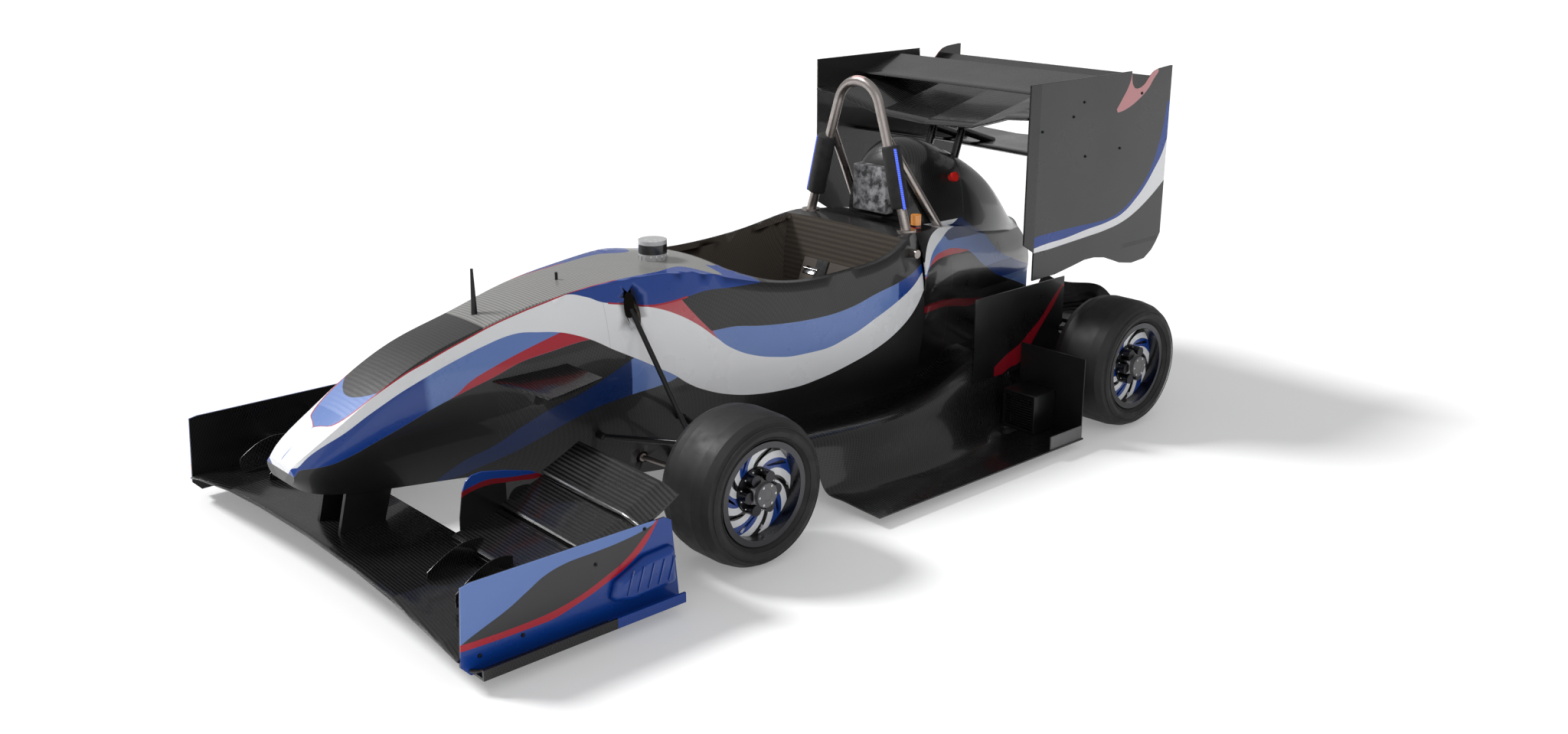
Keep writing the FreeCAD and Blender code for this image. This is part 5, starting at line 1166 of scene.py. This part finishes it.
# The share of a half turn that a vane's top covers, and where it starts.
VANE_ARCH = 0.62
VANE_LEAD = 0.10
FLAP_EDGES = ((1.188, 0.1480), (1.062, 0.1900), (0.930, 0.2480))
FLAP_INNER = 0.302
FLAP_OUTER = 0.700
FLAP_EDGE = 0.0012
POD_OUTLINE = ((0.835, 0.075), (0.980, 0.068), (1.035, 0.085), (1.020, 0.135), (0.930, 0.175),
               (0.838, 0.180))
POD_FACE = 0.709
POD_BULGE = 0.024
POD_DRAFT = (0.86, 1, 0.78)
POD_MIDDLE = (0.93, 0.122)
POD_ROUNDING = 0.012
POD_SEGMENTS = 4
POD_SHARP = 25
POD_SMOOTH = 50
GUTTER_LINE = ((1.395, 0.7095, 0.046), (1.385, 0.726, 0.046), (1.36, 0.738, 0.050), (1.25, 0.744, 0.052),
               (1.05, 0.744, 0.052), (0.90, 0.742, 0.052))
LOUVRES = 5
LOUVRE_START = 0.862
LOUVRE_STEP = 0.030
LOUVRE_FACE = 0.7345
LOUVRE_HEIGHT = 0.125
LOUVRE_SIZE = (0.004, 0.003, 0.062)
LOUVRE_LEAN = -18
LOUVRE_ROUNDING = 0.0008


class RACING_OT_wings(bpy.types.Operator):
    """Livery of the endplates and boards, with the pods, gutters, vanes and screws of the front wing"""
    bl_idname = "racing.wings"
    bl_label = "Wings"

    def execute(self, context):
        sizes = context.scene.car_sizes
        for name, side in SIDES:
            coat("front_endplate_" + name, "front_plate")
            self.pod(name, side, sizes)
            outline = [(x, side * REAR_FACE, z) for x, z in REAR_OUTLINE]
            plate = panel("rear_plate_" + name, outline, sizes.rear_plate, "rear_plate", REAR_ROUNDING)
            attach(plate, "chassis")
            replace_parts(plate, "rear_endplate_" + name)
        fences = [panel("fence", [(x, side * FENCE_FACE, z) for x, z in FENCE_OUTLINE], sizes.fence, "fence",
                        FENCE_ROUNDING) for name, side in SIDES]
        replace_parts(joined(fences, "fence_boards", "chassis"), "wing_fences")
        for name, side in SIDES:
            self.vanes(name, side, sizes)
        coat("side_boards", "side_board")
        places = []
        for name, side in SIDES:
            for face, spots in ((FRONT_SCREW_FACE, FRONT_SCREWS), (REAR_SCREW_FACE, REAR_SCREWS)):
                places += [((x, side * face, z), (0, side, 0)) for x, z in spots]
        screws("endplate_screws", "chassis", "dark_metal", places, PLATE_SCREW)
        return {"FINISHED"}

    def vanes(self, name, side, sizes):
        """Curved turning vanes that stand on the main plane ahead of the flaps, and the flaps' edges."""
        made = []
        for y, lead, tall in VANES:
            outline = []
            for step in range(VANE_STEPS + 1):
                along = step / VANE_STEPS
                top = math.sin(math.pi * min(along * VANE_ARCH + VANE_LEAD, 1))
                outline.append((lead - VANE_LENGTH * along, side * (y - VANE_BEND * along * along),
                                VANE_FOOT + tall * top))
            low = [(x, across, VANE_SEAT) for x, across, z in reversed(outline)]
            made.append(panel("vane", outline + low, sizes.vane, "gloss_weave"))
        joined(made, "wing_vanes_" + name, "chassis")
        edges = [pipe("edge", [(x, side * FLAP_INNER, z), (x, side * FLAP_OUTER, z)], FLAP_EDGE,
                      "gloss_weave", 2) for x, z in FLAP_EDGES]
        joined(edges, "flap_edges_" + name, "chassis")

    def pod(self, name, side, sizes):
        """The bulged pod on an endplate's tail, its louvres, and the rolled gutter along the foot."""
        piece = sheet("pod", [(x, side * POD_FACE, z) for x, z in POD_OUTLINE])
        only(piece)
        bpy.ops.object.mode_set(mode="EDIT")
        bpy.ops.mesh.select_all(action="SELECT")
        bpy.ops.mesh.extrude_region_move(TRANSFORM_OT_translate={"value": (0, side * POD_BULGE, 0)})
        middle = Vector((POD_MIDDLE[0], side * (POD_FACE + POD_BULGE), POD_MIDDLE[1]))
        bpy.ops.transform.resize(value=POD_DRAFT, center_override=middle)
        bpy.ops.object.mode_set(mode="OBJECT")
        rounded(piece, POD_ROUNDING, POD_SEGMENTS, angle_limit=math.radians(POD_SHARP))
        pod = settle(piece, "pod", "front_plate", POD_SMOOTH)
        gutter = pipe("gutter", [(x, side * y, z) for x, y, z in GUTTER_LINE], sizes.gutter, "front_plate")
        joined([pod, gutter], "endplate_pod_" + name, "chassis")
        louvres = []
        for step in range(LOUVRES):
            spot = (LOUVRE_START + step * LOUVRE_STEP, side * LOUVRE_FACE, LOUVRE_HEIGHT)
            louvres.append(block("louvre", spot, LOUVRE_SIZE, "royal", LOUVRE_ROUNDING, (0, LOUVRE_LEAN, 0)))
        joined(louvres, "pod_louvres_" + name, "chassis")


# Wheels: rings are distances out from the wheel's middle and radii

CROWN_RINGS = ((0.0580, 0.0440), (0.0760, 0.0440), (0.0835, 0.0375), (0.0850, 0.0340))
CROWN_SIDES = 6
CROWN_ANGLE = 20
CROWN_ROUNDING = 0.0015
CAP_RINGS = ((0.0840, 0.0325), (0.0968, 0.0325), (0.0978, 0.0312), (0.0978, 0.0150), (0.0970, 0.0140))
CAP_SIDES = 48
HUB_SCREWS = ((6, 0, 0.0265, 0.0980), (12, 15, 0.0545, 0.0590))  # count, first angle, circle, distance out
HUB_SCREW = 0.0020
WALL_RINGS = ((0.149, 0.0975), (0.176, 0.0995))  # radius, distance out
WALL_RING = 0.0013


class RACING_OT_wheels(bpy.types.Operator):
    """Swirled wheel discs, hub crowns with their screws, and the tyres with rings on their walls"""
    bl_idname = "racing.wheels"
    bl_label = "Wheels"

    def execute(self, context):
        for wheel, side in WHEELS:
            middle = centre("tyre_" + wheel)
            coat("tyre_" + wheel, "rubber")
            self.disc(wheel, middle)
            self.hub(wheel, middle, side)
            self.wall_rings(wheel, middle)
        return {"FINISHED"}

    def disc(self, wheel, middle):
        """The rim, turned so that its slots trail as the painted strips do."""
        piece = stand_in("rim_" + wheel, "wheel_" + wheel, "wheel_" + wheel, ("rim",))
        there = Matrix.Translation((middle.x, 0, 0))
        piece.data.transform(there @ Matrix.Scale(-1, 4, (1, 0, 0)) @ there.inverted())
        piece.data.flip_normals()

    def hub(self, wheel, middle, side):
        """Dark hub with a six sided crown round a flat cap, and small screws."""
        coat("hub_" + wheel, "dark_metal")
        way = (0, side, 0)
        crown = turned("crown", middle, way, CROWN_RINGS, "dark_chrome", CROWN_SIDES, CROWN_ANGLE)
        rounded(crown, CROWN_ROUNDING, 3)
        cap = turned("cap", middle, way, CAP_RINGS, "grey", CAP_SIDES)
        joined([crown, cap], "hub_crown_" + wheel, "wheel_" + wheel)
        places = []
        for count, first, radius, out in HUB_SCREWS:
            for x, z, angle in circle(count, radius, first):
                places.append((middle + Vector((x, side * out, z)), way))
        screws("hub_screws_" + wheel, "wheel_" + wheel, "chrome", places, HUB_SCREW)

    def wall_rings(self, wheel, middle):
        """Two fine ribs round each wall of a tyre."""
        rings = []
        for name, face in SIDES:
            for radius, out in WALL_RINGS:
                deselect()
                spot = middle + Vector((0, face * out, 0))
                bpy.ops.mesh.primitive_torus_add(
                    major_radius=radius, minor_radius=WALL_RING, major_segments=96, minor_segments=8,
                    rotation=(math.radians(90), 0, 0), location=spot)
                rings.append(settle(bpy.context.object, "ring", "rubber", SOFT_PIPE))
        joined(rings, "tyre_rings_" + wheel, "wheel_" + wheel)


# Hoop

HOOP_X = -0.4775
# The sleeves' ends, sideways and in height.
SLEEVE_FOOT = (0.1855, 0.700)
SLEEVE_TOP = (0.1375, 0.885)
SLEEVE_END = ((0.0, 0.0262), (0.002, 0.0280), (0.006, 0.0290))  # from an end, and radius
SLEEVE_WAIST = 0.0288
SLEEVE_SIDES = 28
STRIP_OUT = 0.0292
STRIP_AHEAD = 0.012
RAIL_SHARE = 0.93
RAIL_INSET = 0.002
RAIL = 0.0052
STRIP_INSET = 0.004
LENS_DROP = 0.0125
LENS_RADIUS = 0.0142
LENS_BEND = ((-0.046, 0.0155), (-0.024, 0.0030), (0.0, 0.0), (0.024, 0.0030), (0.046, 0.0155))
PAD_SHARES = (0.80, 0.97, 0.97)
PAD_CUTS = 5
PAD_CROWN = 0.0035
PAD_FALL = 4
PAD_ROUNDING = 0.004
PAD_SHARP = 50
BRACKET_BEHIND = 0.003
BRACKET_DROP = 0.006
BRACKET_THICKNESS = 0.004
BRACKET_WIDER = 1.05
BRACKET_LOWER = 0.92
TRAY_BEHIND = 0.004
TRAY_BELOW = 0.008
TRAY_SIZE = (0.060, 0.120, 0.005)


class RACING_OT_hoop(bpy.types.Operator):
    """Sleeves with light strips, the red light, the headrest on its bracket"""
    bl_idname = "racing.hoop"
    bl_label = "Hoop"

    def execute(self, context):
        coat("roll_hoop", "steel")
        for name, side in SIDES:
            self.sleeve(name, side, context.scene.car_sizes.strip)
        self.headrest()
        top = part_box("roll_hoop")[1][2] - LENS_DROP
        lens = pipe("lens", [(HOOP_X, y, top - drop) for y, drop in LENS_BEND], LENS_RADIUS, "red_light")
        joined([lens], "hoop_light", "chassis")
        return {"FINISHED"}

    def sleeve(self, name, side, strip):
        """A padded sleeve round a leg of the hoop, with a light strip on a rail along its outer side."""
        foot, top = [Vector((HOOP_X, side * y, z)) for y, z in (SLEEVE_FOOT, SLEEVE_TOP)]
        way = (top - foot).normalized()
        reach = (top - foot).length
        rings = [*SLEEVE_END, (reach / 2, SLEEVE_WAIST)]
        rings += [(reach - along, radius) for along, radius in reversed(SLEEVE_END)]
        pad = turned("sleeve_" + name, foot, way, rings, "foam", SLEEVE_SIDES, SOFT_PIPE)
        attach(pad, "chassis")
        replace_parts(pad, "hoop_pads")
        edge = Vector((STRIP_AHEAD, side * math.sqrt(1 - way.y ** 2) * STRIP_OUT, 0))
        for piece, finish, share, inset, radius in (("light_strip_", "led", 1, STRIP_INSET, strip),
                                                    ("strip_rail_", "grey", RAIL_SHARE, RAIL_INSET, RAIL)):
            ends = [foot + edge * share + way * inset, top + edge * share - way * inset]
            joined([pipe("strip", ends, radius, finish, 3)], piece + name, "chassis")

    def headrest(self):
        """A block of foam with pressed edges, on a black tray."""
        low, high = [Vector(corner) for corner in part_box("headrest")]
        middle = (low + high) / 2
        size = [(high[i] - low[i]) * share for i, share in enumerate(PAD_SHARES)]
        piece = box(middle, size)
        bpy.ops.object.mode_set(mode="EDIT")
        bpy.ops.mesh.subdivide(number_cuts=PAD_CUTS)
        bpy.ops.object.mode_set(mode="OBJECT")
        for corner in piece.data.vertices:
            crown = math.copysign(PAD_CROWN, corner.co.x)
            for place, wide in zip(corner.co.yz, size[1:]):
                crown *= 1 - (place / (wide / 2)) ** PAD_FALL
            corner.co.x += crown
        rounded(piece, PAD_ROUNDING, 3, angle_limit=math.radians(PAD_SHARP))
        change(piece, "SUBSURF", levels=1, render_levels=1)
        settle(piece, "headrest_pad", "marbled", SOFT_PIPE)
        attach(piece, "chassis")
        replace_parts(piece, "headrest")
        back = block("bracket", (low.x - BRACKET_BEHIND, 0, middle.z - BRACKET_DROP),
                     (BRACKET_THICKNESS, (high.y - low.y) * BRACKET_WIDER, (high.z - low.z) * BRACKET_LOWER),
                     "deep_black")
        tray = block("tray", (middle.x - TRAY_BEHIND, 0, low.z - TRAY_BELOW), TRAY_SIZE, "deep_black")
        joined([back, tray], "headrest_bracket", "chassis")


# Cockpit: a spot on the steering wheel's face is ahead, sideways and up from its middle

BELT_ROUNDING = 0.0008
BELT_SMOOTH = 40
FACE_CENTRE = (0.1045, 0, 0.470)
FACE_LEAN = 24
FACE_BLOCKS = (  # name, spot, size, finish, rounding, segments
    ("plate", (-0.006, 0, 0.0), (0.010, 0.190, 0.105), "gloss_weave", 0.006, 4),
    ("screen", (-0.0125, 0, 0.012), (0.004, 0.092, 0.055), "deep_black", 0.0015, 2),
    ("boss", (0.012, 0, 0.0), (0.03, 0.06, 0.06), "dark_metal", 0.006, 2),
)
BUTTON_FACE = -0.010
BUTTON_RINGS = ((0.0, 0.0075), (0.004, 0.0075), (0.005, 0.0060), (0.009, 0.0058), (0.0098, 0.0050))
BUTTONS = ((0.070, 0.032, "red_plastic"), (-0.070, 0.032, "royal"), (0.070, 0.0, "white"),
           (-0.070, 0.0, "white"), (0.055, -0.036, "chrome"), (-0.055, -0.036, "chrome"),
           (0.0, -0.036, "red_plastic"))
BUTTON_SIDES = 20
GRIP_LINE = ((0.118, 0.070), (0.128, 0.045), (0.126, 0.0), (0.128, -0.045), (0.118, -0.070))
ADJUSTER_SPOT = (-0.352, 0.078, 0.478)
ADJUSTER_SIZE = (0.030, 0.056, 0.005)
ADJUSTER_LEAN = 38
ADJUSTER_ROUNDING = 0.002
BAR_HALF = 0.030
BAR_RISE = 0.005
BAR_RADIUS = 0.0030


class RACING_OT_cockpit(bpy.types.Operator):
    """Belts with their adjusters, and the steering wheel's grips, screen and buttons"""
    bl_idname = "racing.cockpit"
    bl_label = "Cockpit"

    def execute(self, context):
        coat("seat", "cockpit_weave")
        belts = stand_in("harness", "belts", "chassis", ("webbing",))
        rounded(belts, BELT_ROUNDING)
        bpy.ops.object.shade_smooth_by_angle(angle=math.radians(BELT_SMOOTH))
        coat("harness_bar", "steel")
        self.wheel_face(context.scene.car_sizes.grip)
        self.adjusters()
        return {"FINISHED"}

    def wheel_face(self, grip):
        """A shaped plate with a screen, buttons and two padded grips over the steering wheel's ring."""
        coat("steering_wheel", "black")
        made = [block(name, spot, size, finish, rounding, segments=segments)
                for name, spot, size, finish, rounding, segments in FACE_BLOCKS]
        made += [turned("button", (BUTTON_FACE, y, z), (-1, 0, 0), BUTTON_RINGS, finish, BUTTON_SIDES)
                 for y, z, finish in BUTTONS]
        for name, side in SIDES:
            made.append(pipe("grip", [(0, side * y, z) for y, z in GRIP_LINE], grip, "foam"))
        lean = Matrix.Rotation(math.radians(FACE_LEAN), 4, "Y")
        for piece in made:
            piece.data.transform(Matrix.Translation(FACE_CENTRE) @ lean)
        joined(made, "steering_face", "steering_wheel")

    def adjusters(self):
        """Bright adjusters on the belts, each with its bar."""
        x, y, z = ADJUSTER_SPOT
        made = []
        for name, side in SIDES:
            made.append(block("adjuster", (x, side * y, z), ADJUSTER_SIZE, "dark_chrome", ADJUSTER_ROUNDING,
                              (0, ADJUSTER_LEAN, 0)))
            ends = [(x, side * (y + out), z + BAR_RISE) for out in (-BAR_HALF, BAR_HALF)]
            made.append(pipe("bar", ends, BAR_RADIUS, "chrome"))
        joined(made, "belt_adjusters", "chassis")


# Small pieces

RIB_CENTRE = (0.3307, 0, 0.6555)
RIB_CIRCLE = 0.0402
RIB_COUNT = 16
RIB_SIZE = (0.0035, 0.0022, 0.012)
RIB_ROUNDING = 0.0005
COOLER_Y = 0.540
HOOD_X = -0.6950
HOOD_SIZE = (0.1000, 0.1240, 0.1240)
HOOD_WALL = 0.009
HOOD_DEPTH = 0.030
HOOD_ROUNDING = 0.0035
FIN_X = -0.6580
FIN_COUNT = 13
FIN_STEP = 0.0080
FIN_SIZE = (0.004, 0.106, 0.0018)
TUBE_X = -0.6600
TUBE_COUNT = 3
TUBE_STEP = 0.028
TUBE_SIZE = (0.004, 0.003, 0.104)
FIN_ROUNDING = 0.0004
MOUTH_FACING = 0.9


class RACING_OT_small_pieces(bpy.types.Operator):
    """Scanner, beacon, buttons, rear light, and the coolers' hoods with their fins"""
    bl_idname = "racing.small_pieces"
    bl_label = "Small pieces"

    def execute(self, context):
        coat("lidar", "lidar")
        coat("beacon", "beacon")
        coat("shutdown_buttons", "red_plastic")
        coat("rear_light", "red_light")
        ribs = []
        for x, y, angle in circle(RIB_COUNT, RIB_CIRCLE):
            spot = Vector(RIB_CENTRE) + Vector((x, y, 0))
            ribs.append(block("rib", spot, RIB_SIZE, "chrome", RIB_ROUNDING, (0, 0, angle)))
        joined(ribs, "scanner_ribs", "chassis")
        for name, side in SIDES:
            self.cooler(name, side * COOLER_Y, centre("radiators").z)
        return {"FINISHED"}

    def cooler(self, name, y, z):
        """A hood round a cooler, open to the front, with fins and tubes in its mouth."""
        hood = box((HOOD_X, y, z), HOOD_SIZE)
        for face in hood.data.polygons:
            face.select = face.normal.x > MOUTH_FACING
        bpy.ops.object.mode_set(mode="EDIT")
        bpy.ops.mesh.select_mode(type="FACE")
        bpy.ops.mesh.inset(thickness=HOOD_WALL)
        bpy.ops.mesh.extrude_region_move(TRANSFORM_OT_translate={"value": (-HOOD_DEPTH, 0, 0)})
        bpy.ops.object.mode_set(mode="OBJECT")
        rounded(hood, HOOD_ROUNDING, 3)
        joined([settle(hood, "hood", "black")], "cooler_hood_" + name, "chassis")
        fins = [block("fin", (FIN_X, y, z + FIN_STEP * (step - (FIN_COUNT - 1) / 2)), FIN_SIZE, "mesh_metal",
                      FIN_ROUNDING) for step in range(FIN_COUNT)]
        fins += [block("tube", (TUBE_X, y + TUBE_STEP * (step - (TUBE_COUNT - 1) / 2), z), TUBE_SIZE,
                       "dark_metal", FIN_ROUNDING) for step in range(TUBE_COUNT)]
        joined(fins, "cooler_fins_" + name, "chassis")


PLAIN_NODES = {
    "gloss_weave": ("floor", "diffuser", "front_wing_main", "front_flaps_left", "front_flaps_right",
                    "nose_winglets", "rear_wing_main", "rear_wing_flaps", "rear_wing_lower", "swan_necks",
                    "rack_case"),
    "black": ("front_wishbones", "rear_wishbones", "wing_masts", "radiators", "radiator_boards", "antennas",
              "column_bearing", "jacking_bar"),
    "steel": ("rack_bar",),
    "dark_metal": ("knuckle_left", "knuckle_right", "rear_uprights"),
    "foam": ("hoop_pads", "headrest", "harness"),
    "grey": ("floor_tags",),
}


class RACING_OT_plain_nodes(bpy.types.Operator):
    """Finishes of the nodes that keep their CAD shape"""
    bl_idname = "racing.plain_nodes"
    bl_label = "Plain nodes"

    def execute(self, context):
        for finish, nodes in PLAIN_NODES.items():
            for node in nodes:
                coat(node, finish)
        return {"FINISHED"}


class RACING_PT_panel(bpy.types.Panel):
    """The car's pieces and colours"""
    bl_idname = "RACING_PT_panel"
    bl_label = "Racing Car"
    bl_space_type = "VIEW_3D"
    bl_region_type = "UI"
    bl_category = "Racing Car"

    def draw(self, context):
        for owner in (context.scene.car_colours, context.scene.car_sizes):
            for name in owner.bl_rna.properties.keys():
                if name not in ("rna_type", "name"):
                    self.layout.prop(owner, name)
        for operator in OPERATORS:
            self.layout.operator(operator.bl_idname)


OPERATORS = (RACING_OT_stage, RACING_OT_body, RACING_OT_plain_nodes, RACING_OT_wings, RACING_OT_wheels,
             RACING_OT_hoop, RACING_OT_cockpit, RACING_OT_small_pieces)
CLASSES = (CarColours, CarSizes, *OPERATORS, RACING_PT_panel)


def register():
    for kind in CLASSES:
        bpy.utils.register_class(kind)
    bpy.types.Scene.car_colours = PointerProperty(type=CarColours)
    bpy.types.Scene.car_sizes = PointerProperty(type=CarSizes)


def unregister():
    del bpy.types.Scene.car_sizes
    del bpy.types.Scene.car_colours
    for kind in reversed(CLASSES):
        bpy.utils.unregister_class(kind)


def main():
    """Makes the whole scene."""
    register()
    scene = bpy.context.scene
    finishes.update(make_finishes(scene.car_colours, scene.car_sizes))
    for operator in OPERATORS:
        group, name = operator.bl_idname.split(".")
        getattr(getattr(bpy.ops, group), name)()


if __name__ == "__main__":
    main()
